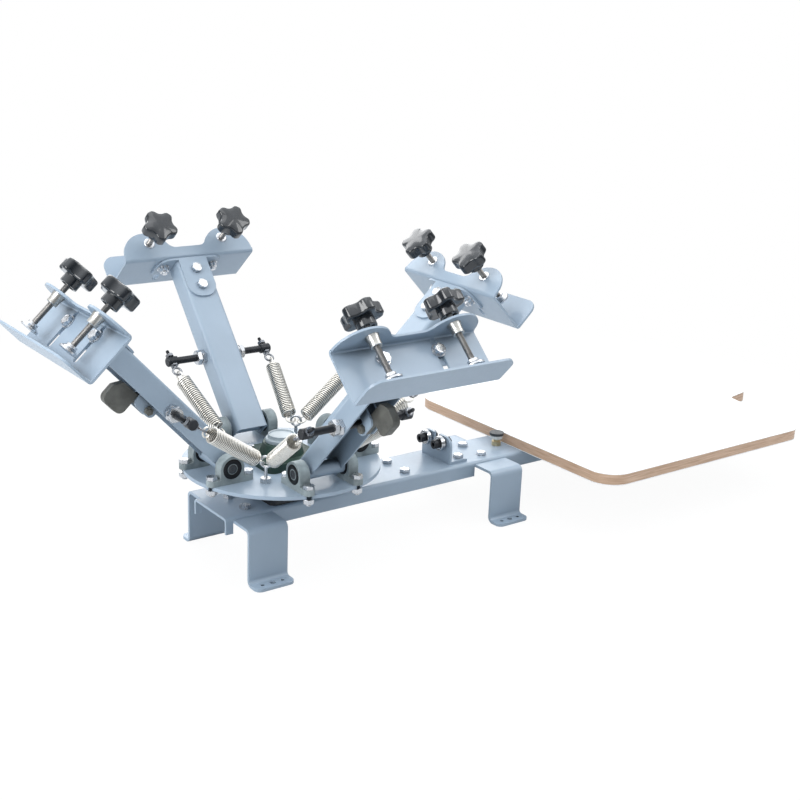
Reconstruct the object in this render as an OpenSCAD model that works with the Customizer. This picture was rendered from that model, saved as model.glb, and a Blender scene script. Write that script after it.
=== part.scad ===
// Tabletop screen printing press: a beam on two foot straps carries a turntable with four
// sprung print arms, a pair of registration rollers, a height stop and a garment board.
// Origin: centre of the four bench bolt holes on the bench top. +X runs along the beam to the
// board, -Y faces the viewer and +Z is up. Units are millimetres.

/* [Beam] */
// Width of the beam across its web
beam_w = 86; // [70:1:120]
// Height of the beam's top face above the bench
beam_top = 82; // [75:1:120]
// Depth of the beam's side flanges
beam_flange = 22; // [16:1:40]
// Thickness of the beam sheet
beam_sheet = 3.5; // [2:0.5:5]
// Outer radius of the beam's bends
beam_bend = 5; // [4:0.5:8]
// Turret axis to the open end of the beam
beam_tail = 109; // [80:1:160]
// Length of beam under the board
beam_under_board = 300; // [150:1:450]

/* [Feet] */
// Distance between the two foot straps
strap_span = 406; // [300:1:600]
// Turret axis back to the first foot strap
strap_setback = 69; // [45:1:80]
// Width of a foot strap along the beam
strap_w = 58; // [45:1:80]
// Thickness of a foot strap
strap_sheet = 4; // [3:0.5:6]
// Outer radius of a foot strap's bends
strap_bend = 9; // [7:0.5:14]
// Centre line to the outer face of a leg
strap_leg = 83; // [75:1:120]
// Length of a foot beyond its leg
foot_reach = 22; // [18:1:40]
// Corner radius of a foot
foot_corner = 9; // [4:1:14]
// Bench bolt hole in the middle of a foot
bench_hole_d = 8; // [5:0.5:10]
// Smaller screw holes beside it
side_hole_d = 5; // [3:0.5:7]
// Spacing of the three holes of a foot
foot_hole_pitch = 15; // [12:1:20]

/* [Fasteners] */
// Shank diameter of the hex bolts
bolt_d = 8; // [6:1:10]
// Width across the flats of their heads and nuts
hex_flats = 13; // [11:1:17]
// Height of a bolt head
head_h = 5.3; // [4:0.1:7]
// Height of a nut
nut_h = 6.5; // [5:0.1:8]
// Radial clearance of a fastener in its hole
hole_play = 0.25; // [0.1:0.05:0.5]
// Radial clearance of a running fit
run_play = 0.05; // [0.02:0.01:0.1]
// Gap between neighbours that only just clear
seat_gap = 0.3; // [0.2:0.05:0.5]
// Distance between the two bolts across the beam
bolt_pair = 44; // [30:1:60]
// Turret axis to the free bolt pair on the beam
mid_bolts_x = 194; // [170:1:240]

/* [Board] */
// Width of the garment board
board_w = 450; // [300:1:600]
// Length of the board to its shoulders
board_l = 446; // [320:1:600]
// Thickness of the board
board_t = 17; // [12:1:25]
// Turret axis to the near edge of the board
board_x = 401; // [395:1:460]
// Corner radius at the near edge
board_corner = 38; // [15:1:80]
// Length of the collar end beyond the shoulders
collar_l = 72; // [40:1:110]
// Width of the collar end
collar_w = 88; // [60:1:140]

/* [Registration] */
// Turret axis to the face of the roller bracket
bracket_x = 267; // [262:1:276]
// Width of the roller bracket
bracket_w = 66; // [55:1:90]
// Height of the roller bracket
bracket_h = 40; // [34:1:50]
// Length of its base along the beam
bracket_base = 33; // [24:1:40]
// Thickness of the bracket sheet
bracket_sheet = 4; // [3:0.5:5]
// Diameter of a roller
roller_d = 22; // [18:0.5:26]
// Width of a roller
roller_w = 7; // [5:0.5:10]
// Spacing of the two rollers
roller_pitch = 33; // [28:1:40]
// Height of the rollers' axes above the beam
roller_z = 30; // [24:1:34]
// Turret axis to the height stop
stop_x = 385; // [370:1:392]
// Diameter of the stop's rubber cap
stop_d = 22; // [14:1:26]

/* [Turntable] */
// Diameter of the turntable
table_d = 268; // [260:1:320]
// Thickness of the turntable
table_t = 5; // [4:0.5:8]
// Height of the turntable's top above the beam
table_rise = 48; // [40:1:60]
// Diameter of the spindle's journal
spindle_d = 20; // [16:1:25]
// Diameter of the pedestal under the turntable
pedestal_d = 52; // [40:1:60]
// Side of the square bearing flange
hub_flange = 86; // [78:1:96]
// Height of the bearing housing
hub_h = 27; // [24:1:36]
// Diameter of the hub cap
cap_d = 44; // [36:1:50]
// Height of the hub cap
cap_h = 11; // [9:1:18]
// Turret axis to a spring post
post_r = 86; // [84:1:90]
// Height of a post's ring above the turntable
post_h = 28; // [24:1:34]
// Mean diameter of a post's ring
ring_d = 14; // [12:1:18]
// Wire diameter of a post's ring
ring_wire = 3.6; // [3:0.2:4.4]

/* [Arm pivots] */
// Turret axis to an arm's pivot
pivot_r = 100; // [98:1:108]
// Height of the pivots above the turntable
pivot_h = 20; // [18:1:24]
// Diameter of the pivot journals
pivot_d = 12; // [10:1:14]
// Middle of the arm to the middle of a pillow block
block_s = 37; // [36:1:40]
// Thickness of a pillow block
block_t = 15; // [12:1:16]
// Length of a pillow block's base
block_l = 66; // [62:1:70]
// Spacing of a pillow block's bolts
block_bolts = 52; // [50:1:54]
// Diameter of a pillow block's head
block_d = 34; // [30:1:38]

/* [Arms] */
// Angle above the level of the raised arm over the board
raise_board_deg = 43.5; // [30:0.5:55]
// Angle of the raised arm on the far side
raise_far_deg = 49; // [30:0.5:55]
// Angle of the raised arm over the beam's tail
raise_tail_deg = 47; // [30:0.5:55]
// Angle of the raised arm on the near side
raise_near_deg = 47; // [30:0.5:55]
// Width of the arm channel
arm_w = 48; // [40:1:50]
// Height of the arm channel
arm_h = 30; // [24:1:34]
// Wall of the arm channel
arm_wall = 2.5; // [2:0.5:3]
// Pivot to the lower edges of the arm channel
arm_drop = 8; // [6:1:10]
// Pivot to the outer end of the arm channel
arm_l = 256; // [240:1:300]
// Diameter of the pivot sleeve
sleeve_d = 20; // [18:1:24]

/* [Screen clamp] */
// Width of the screen channel
channel_w = 204; // [180:1:260]
// Outside height of the screen channel
channel_h = 72; // [60:1:90]
// Thickness of the channel sheet
channel_sheet = 3; // [2:0.5:4]
// Depth of the top flange at its two bumps
bump_depth = 44; // [40:1:50]
// Depth of the top flange at the dip between them
dip_depth = 18; // [14:1:24]
// Depth of the bottom flange
jaw_depth = 49; // [44:1:60]
// Length of the height slots
slot_l = 56; // [40:1:60]
// Spacing of the height slots
slot_pitch = 78; // [70:1:90]
// Width of the head plate behind the channel
plate_w = 104; // [96:1:120]
// Length of the tongue on top of the arm
tongue_l = 61; // [50:1:80]
// Spacing of the clamp screws
screw_pitch = 116; // [110:1:130]
// Clamp screw to the back of the channel
screw_depth = 27; // [22:1:30]
// Diameter of the clamp screws
screw_d = 8; // [6:1:10]
// Diameter of a star knob
knob_d = 50; // [40:1:56]
// Height of a star knob's head
knob_h = 18; // [14:1:24]
// Diameter of a clamp pad
pad_d = 24; // [18:1:28]
// Height of a clamp pad
pad_h = 9; // [7:1:12]
// Gap under a pad when its screw is at its lowest shown setting
pad_gap = 7; // [5:1:20]

/* [Gate] */
// Thickness of the registration blade
blade_t = 10.4; // [8:0.2:10.4]
// Length of the blade's paddle along the arm
blade_l = 35; // [25:1:40]
// Depth of the paddle below the arm
blade_depth = 34; // [26:1:36]
// Pivot to the outer edge of the paddle
blade_x = 186; // [182:1:190]

/* [Springs] */
// Pivot to the spring bar along the arm
bar_x = 111; // [100:1:120]
// Height of the spring bar above the pivot line
bar_h = 2; // [1:0.5:4]
// Diameter of the spring bar
bar_d = 12; // [10:1:12]
// Middle of the arm to an eye bolt
bar_eye_s = 74; // [70:1:80]
// Spring bar to the pull point of its eye
eye_reach = 24; // [22:1:28]
// Outside diameter of a spring
coil_d = 20; // [14:1:22]
// Wire diameter of a spring
coil_wire = 2.4; // [2:0.2:2.6]

/* [Hidden] */
// The four stations, counted from the one over the board
stations = [1:4];
station_turn = 90;
half_turn = 180;
$fn = 48;
// Shared overrun of every cut, and the shape's own counts
cut = 1;
arc_steps = 8;
knob_lobes = 5;

// Angle of each station's raised arm
raise_degs = [raise_board_deg, raise_far_deg, raise_tail_deg, raise_near_deg];
function raised(k) = raise_degs[k - 1];

// Heights and places that follow from the driving sizes
hub_x = strap_setback - strap_span / 2;
straps_x = [-strap_span / 2, strap_span / 2];
beam_under = beam_top - beam_sheet;
beam_start = hub_x - beam_tail;
beam_end = hub_x + board_x + beam_under_board;
board_top = beam_top + board_t;
table_top = beam_top + table_rise;
table_under = table_top - table_t;
pivot_z = table_top + pivot_h;
post_z = table_top + post_h;
rollers_z = beam_top + roller_z;

// Screen channel, in the arm's own frame: x out along the arm, y across it, z up from the pivot
arm_top = arm_h - arm_drop;
tongue_t = channel_sheet;
web_x = arm_l + seat_gap + tongue_t + seat_gap;
channel_top = arm_top + tongue_t;
channel_floor = channel_top - channel_h + channel_sheet;
channel_bend = channel_sheet * 1.667;
screw_x = web_x + screw_depth;

// Height of each arm's clamp screws above the lowest shown setting
screw_lift_shares = [0.7, 0.85, 0.25, 0];
screw_lift_most = 20;

/* Plane shapes */

function toward(v) = v / norm(v);

// Points of a rounded corner, from the corner before it to the corner after it
function corner_arc(before, at, after, radius) =
    let (a = toward(before - at),
         b = toward(after - at),
         half = acos(a * b) / 2,
         centre = at + toward(a + b) * radius / sin(half),
         start = at + a * radius / tan(half) - centre,
         from = atan2(start.y, start.x),
         turn = (half_turn - 2 * half) * sign(cross(b, a)))
    [for (i = [0:arc_steps]) let (angle = from + turn * i / arc_steps) centre + radius * [cos(angle), sin(angle)]];

// A closed outline whose corners are each [point, radius]
function rounded(corners) =
    let (n = len(corners))
    [for (i = [0:n - 1])
        each corners[i][1] == 0 ? [corners[i][0]]
            : corner_arc(corners[(i + n - 1) % n][0], corners[i][0], corners[(i + 1) % n][0], corners[i][1])];

module rounded_rectangle(size, radius) {
    polygon(rounded([
        for (p = [[-1, -1], [1, -1], [1, 1], [-1, 1]]) [[p.x * size.x, p.y * size.y] / 2, radius]]));
}

// A bent sheet in section: a U that opens downward from its web at y = 0
module channel_section(width, depths, sheet, bend) {
    inner = bend - sheet;
    difference() {
        polygon(rounded([[[-width / 2, -depths[0]], 0], [[width / 2, -depths[1]], 0],
                         [[width / 2, 0], bend], [[-width / 2, 0], bend]]));
        polygon(rounded([[[-width / 2 + sheet, -depths[0] - cut], 0],
                         [[width / 2 - sheet, -depths[1] - cut], 0],
                         [[width / 2 - sheet, -sheet], inner], [[-width / 2 + sheet, -sheet], inner]]));
    }
}

/* Fasteners, each along z from the face that it bears on at z = 0 */

module hexagon(flats) {
    circle(d = flats / cos(30), $fn = 6);
}

module hex_head(flats = hex_flats, height = head_h) {
    linear_extrude(height) hexagon(flats);
}

module nut(shank = bolt_d, flats = hex_flats, height = nut_h) {
    difference() {
        linear_extrude(height) hexagon(flats);
        translate([0, 0, -cut]) cylinder(d = shank, h = height + 2 * cut);
    }
}

// A bolt with its head up and its nut under a stack of the given thickness
bolt_tip = 3;

module bolt(stack, shank = bolt_d, flats = hex_flats) {
    hex_head(flats);
    translate([0, 0, -stack - nut_h - bolt_tip]) cylinder(d = shank, h = stack + nut_h + bolt_tip);
    translate([0, 0, -stack]) mirror([0, 0, 1]) nut(shank, flats);
}

module bolt_hole(stack, shank = bolt_d) {
    translate([0, 0, -stack - cut]) cylinder(d = shank + 2 * hole_play, h = stack + 2 * cut);
}

/* Frame */

bracket_bolt_x = hub_x + bracket_x + bracket_base * 0.76;
spindle_bolt_pitch = 60;
beam_bolt_places = [
    for (x = straps_x) each [[x, -bolt_pair / 2], [x, bolt_pair / 2]],
    [hub_x + mid_bolts_x, -bolt_pair / 2],
    [hub_x + mid_bolts_x, bolt_pair / 2],
    [bracket_bolt_x, -bolt_pair / 2],
    [bracket_bolt_x, bolt_pair / 2],
];
function over_strap(place) = abs(abs(place.x) - strap_span / 2) < strap_w / 2;
function under_bracket(place) = place.x == bracket_bolt_x;

// The height stop's stud, which passes a strap where it stands over one
stud_x = hub_x + stop_x;
function stud_over(x) = abs(stud_x - x) < strap_w / 2 + hex_flats;
stud_grip = beam_sheet + (stud_over(straps_x[0]) || stud_over(straps_x[1]) ? strap_sheet : 0);

// Garment board screws, from below through the beam
board_screw_xs = [for (share = [0.2, 0.8]) hub_x + board_x + beam_under_board * share];
board_screw_grip_share = 0.6;

module at_beam_bolts() {
    for (place = beam_bolt_places) translate([place.x, place.y, beam_top]) children();
}

// The beam's web is drilled for its bolts, and its flanges are notched for the straps
module base_beam() {
    color([0.62, 0.70, 0.78])
    difference() {
        translate([beam_start, 0, beam_top]) rotate([90, 0, 90]) linear_extrude(beam_end - beam_start)
            channel_section(beam_w, [beam_flange, beam_flange], beam_sheet, beam_bend);
        for (x = straps_x)
            translate([x - strap_w / 2 - seat_gap, -beam_w / 2 - cut, beam_top - beam_flange - cut])
            cube([strap_w + 2 * seat_gap, beam_w + 2 * cut, beam_flange - beam_sheet + cut]);
        at_beam_bolts() bolt_hole(beam_sheet);
        for (x = board_screw_xs) translate([x, 0, beam_top]) bolt_hole(beam_sheet);
        at_spindle_bolts() bolt_hole(beam_sheet);
        translate([stud_x, 0, beam_top]) bolt_hole(beam_sheet);
    }
}

module at_spindle_bolts() {
    for (x = [-1, 1], y = [-1, 1])
        translate([hub_x + x * spindle_bolt_pitch / 2, y * spindle_bolt_pitch / 2, beam_top]) children();
}

// One hat shaped strap at x: foot, leg, top, leg, foot, bent from one strip
module foot_strap(x) {
    top = beam_under;
    foot_end = strap_leg + foot_reach;
    inner = strap_bend - strap_sheet;
    difference() {
        translate([-strap_w / 2, 0, 0]) rotate([90, 0, 90]) linear_extrude(strap_w)
            polygon(rounded([
                [[-foot_end, 0], 0], [[-strap_leg + strap_sheet, 0], strap_bend],
                [[-strap_leg + strap_sheet, top - strap_sheet], inner],
                [[strap_leg - strap_sheet, top - strap_sheet], inner],
                [[strap_leg - strap_sheet, 0], strap_bend], [[foot_end, 0], 0],
                [[foot_end, strap_sheet], 0], [[strap_leg, strap_sheet], inner],
                [[strap_leg, top], strap_bend], [[-strap_leg, top], strap_bend],
                [[-strap_leg, strap_sheet], inner], [[-foot_end, strap_sheet], 0]]));
        for (side = [-1, 1]) {
            for (step = [-1, 0, 1])
                translate([step * foot_hole_pitch, side * (strap_leg + foot_reach / 2), -cut])
                    cylinder(d = step == 0 ? bench_hole_d : side_hole_d, h = strap_sheet + 2 * cut);
            for (end = [-1, 1]) translate([end * strap_w / 2, side * foot_end, -cut])
                foot_corner_cut(end, side);
            translate([0, side * bolt_pair / 2, top]) bolt_hole(strap_sheet);
        }
        if (stud_over(x)) translate([stud_x - x, 0, top]) bolt_hole(strap_sheet);
    }
}

// Waste outside a foot's rounded corner
module foot_corner_cut(end, side) {
    linear_extrude(strap_sheet + 2 * cut) difference() {
        translate([-end * foot_corner / 2, -side * foot_corner / 2] + [end, side] * cut / 2)
            square(foot_corner + cut, center = true);
        translate([-end * foot_corner, -side * foot_corner]) circle(foot_corner);
    }
}

module foot_straps() {
    color([0.62, 0.70, 0.78])
    for (x = straps_x) translate([x, 0, 0]) foot_strap(x);
}

module frame_bolts() {
    color([0.80, 0.80, 0.82]) {
        for (place = beam_bolt_places) {
            raised = under_bracket(place) ? bracket_sheet : 0;
            below = over_strap(place) ? strap_sheet : 0;
            translate([place.x, place.y, beam_top + raised]) bolt(raised + beam_sheet + below);
        }
        for (x = board_screw_xs) translate([x, 0, beam_under]) mirror([0, 0, 1]) board_screw();
        at_spindle_bolts() translate([0, 0, -beam_sheet]) mirror([0, 0, 1]) spindle_screw();
    }
}

module board_screw() {
    hex_head();
    translate([0, 0, -beam_sheet - board_t * board_screw_grip_share])
        cylinder(d = bolt_d, h = beam_sheet + board_t * board_screw_grip_share);
}

module spindle_screw() {
    hex_head();
    translate([0, 0, -beam_sheet - spindle_foot_t]) cylinder(d = bolt_d, h = beam_sheet + spindle_foot_t);
}

/* Garment board */

module platen() {
    shoulder_w = board_w * 0.36;
    shoulder_drop = board_l * 0.04;
    collar_x = board_l + shoulder_drop;
    notch = collar_w * 0.62;
    color([0.93, 0.93, 0.92])
    translate([hub_x + board_x, 0, beam_top])
    difference() {
        linear_extrude(board_t) polygon(rounded([
            [[0, -board_w / 2], board_corner],
            [[board_l - shoulder_drop, -board_w / 2], board_corner * 0.6],
            [[collar_x - shoulder_drop / 4, -notch - board_corner / 2], board_corner * 0.2],
            [[collar_x, -notch], board_corner * 0.3],
            [[board_l + collar_l, -collar_w / 2], board_corner * 0.3],
            [[board_l + collar_l, collar_w / 2], board_corner * 0.3],
            [[collar_x, notch], board_corner * 0.3],
            [[collar_x - shoulder_drop / 4, notch + board_corner / 2], board_corner * 0.2],
            [[board_l - shoulder_drop, board_w / 2], board_corner * 0.6],
            [[0, board_w / 2], board_corner]]));
        for (x = board_screw_xs) translate([x - hub_x - board_x, 0, -cut])
            cylinder(d = bolt_d + 2 * hole_play, h = board_t * board_screw_grip_share + cut + seat_gap);
        for (place = beam_bolt_places) if (place.x > hub_x + board_x - hex_flats)
            translate([place.x - hub_x - board_x, place.y, -cut])
                cylinder(d = hex_flats / cos(30) + 2 * seat_gap, h = head_h + seat_gap + cut);
    }
}

/* Registration rollers, their bracket and the height stop */

bracket_notch = roller_pitch - roller_d + cut;
roller_spacer = 3;
roller_bore = bolt_d + 2 * run_play;
screw_head_d = 13;
screw_head_h = 8;
bracket_face = hub_x + bracket_x;
roller_face = bracket_face - roller_spacer - roller_w - 2 * seat_gap;

// An angle with a notch for the gate between two round-topped ears
module roller_bracket() {
    ear_r = (bracket_w - bracket_notch) / 4;
    color([0.62, 0.70, 0.78])
    difference() {
        union() {
            translate([bracket_face, 0, beam_top]) rotate([90, 0, 90]) linear_extrude(bracket_sheet)
                polygon(rounded([[[-bracket_w / 2, 0], 0], [[bracket_w / 2, 0], 0],
                                 [[bracket_w / 2, bracket_h], ear_r], [[-bracket_w / 2, bracket_h], ear_r]]));
            translate([bracket_face, -bracket_w / 2, beam_top])
                cube([bracket_base, bracket_w, bracket_sheet]);
        }
        translate([bracket_face - cut, -bracket_notch / 2, rollers_z - roller_d / 2])
            cube([bracket_sheet + 2 * cut, bracket_notch, bracket_h]);
        for (side = [-1, 1]) {
            translate([bracket_face, side * roller_pitch / 2, rollers_z]) rotate([0, -90, 0])
                bolt_hole(bracket_sheet);
            translate([bracket_bolt_x, side * bolt_pair / 2, beam_top + bracket_sheet])
                bolt_hole(bracket_sheet);
        }
    }
}

// A ball bearing: a ring with its outer edges eased
module roller(side) {
    edge = roller_w / 7;
    color([0.75, 0.76, 0.78])
    translate([roller_face, side * roller_pitch / 2, rollers_z]) rotate([0, 90, 0]) rotate_extrude()
        polygon([[roller_bore / 2, 0], [roller_d / 2 - edge, 0], [roller_d / 2, edge],
                 [roller_d / 2, roller_w - edge], [roller_d / 2 - edge, roller_w],
                 [roller_bore / 2, roller_w]]);
}

module roller_screws() {
    color([0.10, 0.10, 0.11])
    for (side = [-1, 1]) translate([roller_face - seat_gap, side * roller_pitch / 2, rollers_z])
        rotate([0, -90, 0]) roller_screw();
}

// A socket head screw through roller, spacer and bracket, with its nut behind
module roller_screw() {
    grip = bracket_face + bracket_sheet - roller_face + seat_gap;
    socket_flats = 6;
    difference() {
        cylinder(d = screw_head_d, h = screw_head_h);
        translate([0, 0, screw_head_h / 2]) linear_extrude(screw_head_h) hexagon(socket_flats);
    }
    translate([0, 0, -grip - nut_h - cut]) cylinder(d = bolt_d, h = grip + nut_h + cut);
    translate([0, 0, -grip]) mirror([0, 0, 1]) nut();
    translate([0, 0, -grip + bracket_sheet]) difference() {
        cylinder(d = bolt_d * 1.7, h = roller_spacer);
        translate([0, 0, -cut]) cylinder(d = bolt_d, h = roller_spacer + 2 * cut);
    }
}

// A threaded stud locked by two nuts, under a plastic disc with a rubber cap
module stop_stud() {
    stop_top = pivot_z + channel_floor - channel_sheet - seat_gap;
    cap_t = (stop_top - beam_top) * 0.2;
    disc_t = (stop_top - beam_top) * 0.26;
    stud_under = beam_top - stud_grip;
    translate([stud_x, 0, 0]) {
        color([0.75, 0.62, 0.35]) {
            translate([0, 0, stud_under - nut_h - cut])
                cylinder(d = bolt_d, h = stop_top - cap_t - disc_t - stud_under + nut_h + cut);
            translate([0, 0, beam_top]) nut();
            translate([0, 0, stud_under]) mirror([0, 0, 1]) nut();
        }
        color([0.90, 0.90, 0.88]) translate([0, 0, stop_top - cap_t - disc_t])
            cylinder(d1 = stop_d * 0.8, d2 = stop_d * 0.92, h = disc_t);
        color([0.20, 0.21, 0.22]) translate([0, 0, stop_top - cap_t]) cylinder(d = stop_d, h = cap_t);
    }
}

/* Turntable */

spindle_foot_t = 8;
spindle_top = table_top + hub_h + cap_h / 2;
hub_bolt_pitch_share = 0.74;
hub_bolt_pitch = hub_flange * hub_bolt_pitch_share;
hub_flange_t = hub_h * 0.44;

module at_hub() {
    translate([hub_x, 0, 0]) children();
}

module at_station(k) {
    at_hub() rotate([0, 0, station_turn * (k - 1)]) children();
}

// A turned post with a square foot, a pedestal, a shoulder for the bearing and a journal
module spindle() {
    shoulder = table_top - seat_gap;
    foot_w = spindle_bolt_pitch + hex_flats;
    color([0.16, 0.17, 0.18])
    at_hub() difference() {
        union() {
            translate([0, 0, beam_top]) linear_extrude(spindle_foot_t)
                rounded_rectangle([foot_w, foot_w], foot_corner);
            translate([0, 0, beam_top]) cylinder(d = pedestal_d, h = table_under - beam_top - seat_gap);
            translate([0, 0, beam_top]) cylinder(d = spindle_d * 1.5, h = shoulder - beam_top);
            translate([0, 0, beam_top]) cylinder(d = spindle_d, h = spindle_top - beam_top);
        }
        for (x = [-1, 1], y = [-1, 1]) translate([x, y, 0] * spindle_bolt_pitch / 2 + [0, 0, beam_top - cut])
            cylinder(d = bolt_d + 2 * hole_play, h = spindle_foot_t + 2 * cut);
    }
}

module turntable() {
    color([0.62, 0.70, 0.78])
    difference() {
        at_hub() translate([0, 0, table_under]) difference() {
            cylinder(d = table_d, h = table_t, $fn = 96);
            translate([0, 0, -cut]) cylinder(d = spindle_d * 1.5 + 2 * seat_gap, h = table_t + 2 * cut);
        }
        at_turret_bolts() bolt_hole(table_t);
        at_posts() bolt_hole(table_t);
    }
}

// Bolt places on the turntable: the bearing flange's four, then two at each pillow block
module at_turret_bolts() {
    for (x = [-1, 1], y = [-1, 1])
        at_hub() translate([x * hub_bolt_pitch / 2, y * hub_bolt_pitch / 2, table_top]) children();
    for (k = stations, side = [-1, 1], end = [-1, 1])
        at_station(k) translate([pivot_r + end * block_bolts / 2, side * block_s, table_top]) children();
}

module turret_bolts() {
    color([0.80, 0.80, 0.82]) {
        for (x = [-1, 1], y = [-1, 1])
            at_hub() translate([x * hub_bolt_pitch / 2, y * hub_bolt_pitch / 2, table_top + hub_flange_t])
                bolt(hub_flange_t + table_t);
        for (k = stations, side = [-1, 1], end = [-1, 1])
            at_station(k)
                translate([pivot_r + end * block_bolts / 2, side * block_s, table_top + block_base_t])
                bolt(block_base_t + table_t);
    }
}

// The cast housing of the turret's bearing: a square flange under a round, tapered boss
module hub_bearing() {
    boss_d = hub_flange * 0.7;
    color([0.10, 0.22, 0.17])
    at_hub() translate([0, 0, table_top]) difference() {
        union() {
            linear_extrude(hub_flange_t) rounded_rectangle([hub_flange, hub_flange], hub_flange * 0.13);
            translate([0, 0, hub_flange_t])
                cylinder(d1 = boss_d, d2 = cap_d * 1.14, h = hub_h - hub_flange_t);
        }
        translate([0, 0, -cut]) cylinder(d = spindle_d + 2 * run_play, h = hub_h + 2 * cut);
        for (x = [-1, 1], y = [-1, 1]) translate([x, y, 0] * hub_bolt_pitch / 2 + [0, 0, hub_flange_t])
            bolt_hole(hub_flange_t);
    }
}

module hub_cap() {
    wall = cap_d * 0.09;
    color([0.72, 0.76, 0.78])
    at_hub() translate([0, 0, table_top + hub_h]) difference() {
        rotate_extrude() polygon([
            [0, 0], [cap_d / 2, 0], [cap_d / 2, cap_h - wall / 3], [cap_d / 2 - wall / 3, cap_h],
            [cap_d / 2 - wall, cap_h], [cap_d / 2 - wall, cap_h - wall / 4], [0, cap_h - wall / 4]]);
        translate([0, 0, -cut]) cylinder(d = spindle_d + 4 * seat_gap, h = cap_h / 2 + cut + seat_gap);
    }
}

/* Spring posts, one on each diagonal between two arms */

post_stem_d = bolt_d;
post_nut_h = nut_h;

module at_posts() {
    for (k = stations) at_station(k)
        rotate([0, 0, station_turn / 2]) translate([post_r, 0, table_top]) children();
}

// An eye bolt: lock nuts on both faces of the turntable and an upright ring on top
module spring_post() {
    translate([0, 0, -table_t - nut_h - cut])
        cylinder(d = post_stem_d, h = table_t + nut_h + cut + post_nut_h);
    nut(post_stem_d, hex_flats, post_nut_h);
    translate([0, 0, -table_t]) mirror([0, 0, 1]) nut(post_stem_d);
    cylinder(d = ring_wire * 1.3, h = post_h - ring_d / 2);
    translate([0, 0, post_h]) rotate([90, 0, 90]) rotate_extrude()
        translate([ring_d / 2, 0]) circle(d = ring_wire, $fn = 24);
}

module spring_posts() {
    color([0.82, 0.83, 0.85]) at_posts() spring_post();
}

/* Pillow blocks, two to an arm */

block_base_t = 8;
block_base_w_share = 0.92;
insert_d = block_d * 0.78;
insert_bore = pivot_d + 2 * run_play;

module pillow_block() {
    difference() {
        union() {
            translate([0, 0, pivot_h]) rotate([90, 0, 0]) cylinder(d = block_d, h = block_t, center = true);
            translate([-block_d / 2, -block_t / 2, block_base_t / 2])
                cube([block_d, block_t, pivot_h - block_base_t / 2]);
            linear_extrude(block_base_t) rounded_rectangle([block_l, block_t], block_t * 0.45);
        }
        translate([0, 0, pivot_h]) rotate([90, 0, 0])
            cylinder(d = insert_d, h = block_t + 2 * cut, center = true);
        for (end = [-1, 1]) translate([end * block_bolts / 2, 0, block_base_t]) {
            bolt_hole(block_base_t);
            cylinder(d = hex_flats / cos(30) + cut, h = pivot_h);
        }
    }
}

// The dark bearing insert: a ring in the casting with a narrower, longer sleeve
module block_insert() {
    translate([0, 0, pivot_h]) rotate([90, 0, 0]) difference() {
        union() {
            cylinder(d = insert_d, h = block_t * 0.9, center = true);
            cylinder(d = pivot_d * 1.5, h = block_t, center = true);
        }
        cylinder(d = insert_bore, h = block_t + 2 * cut, center = true);
    }
}

module pillow_blocks() {
    for (k = stations, side = [-1, 1]) at_station(k) translate([pivot_r, side * block_s, table_top]) {
        color([0.55, 0.60, 0.60]) pillow_block();
        color([0.08, 0.08, 0.09]) block_insert();
    }
}

/* Print arm */

module on_arm(k) {
    at_station(k) translate([pivot_r, 0, pivot_z]) rotate([0, -raised(k), 0]) children();
}

sleeve_l = 2 * (block_s - block_t / 2 - seat_gap);
tongue_bolt_xs = [arm_l - tongue_l * 0.26, arm_l - tongue_l * 0.7];
lug_t = 3;
lug_l = 34;
lug_depth = 13;
lug_x = blade_x - blade_l - lug_l;
lug_bolt_x = lug_x + lug_l * 0.35;
lug_bolt_z = -arm_drop - lug_depth * 0.5;
lug_bolt_d = 6;

// A welded arm: a channel open downward, a sleeve through it with two journals, and two lugs for the gate
arm_bend = arm_wall * 2;
arm_tail = pivot_d * 1.15;

module arm_tube() {
    journal = block_s + block_t / 2 + seat_gap;
    difference() {
        union() {
            translate([-arm_tail, 0, arm_top]) rotate([90, 0, 90]) linear_extrude(arm_l + arm_tail)
                channel_section(arm_w, [arm_h, arm_h], arm_wall, arm_bend);
            rotate([90, 0, 0]) cylinder(d = sleeve_d, h = sleeve_l, center = true);
            rotate([90, 0, 0]) cylinder(d = pivot_d, h = 2 * journal, center = true);
            for (side = [-1, 1]) translate([lug_x, side * (blade_t / 2 + seat_gap + lug_t / 2), 0])
                gate_lug();
        }
        for (x = tongue_bolt_xs) translate([x, 0, arm_top]) bolt_hole(arm_wall);
        translate([bar_x, 0, bar_h]) rotate([90, 0, 0])
            cylinder(d = bar_d + 2 * hole_play, h = arm_w + 2 * cut, center = true);
        translate([lug_bolt_x, 0, lug_bolt_z]) rotate([90, 0, 0])
            cylinder(d = lug_bolt_d + 2 * hole_play, h = arm_w, center = true);
    }
}

// A plate that hangs from the web by its outer half and holds the gate's bolt in its inner half
module gate_lug() {
    foot = -arm_drop - lug_depth;
    riser_x = lug_l * 0.5;
    rotate([90, 0, 0]) linear_extrude(lug_t, center = true) polygon(rounded([
        [[0, -arm_drop], 0], [[0, foot], lug_depth * 0.6], [[lug_l, foot], lug_depth * 0.6],
        [[lug_l, arm_top - arm_wall / 2], 0], [[riser_x, arm_top - arm_wall / 2], 0],
        [[riser_x, -arm_drop], 0]]));
}

module arm_tubes(k) {
    color([0.62, 0.70, 0.78]) on_arm(k) arm_tube();
}

// A plate bent to an L: a tongue on the arm and a round-shouldered plate behind the channel
plate_drop = 14;
slot_s = slot_pitch / 2;
slot_w = bolt_d * 1.125;
slot_mid = (channel_top + channel_floor) / 2 + channel_sheet;
slot_bolt_z = 4;

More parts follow.
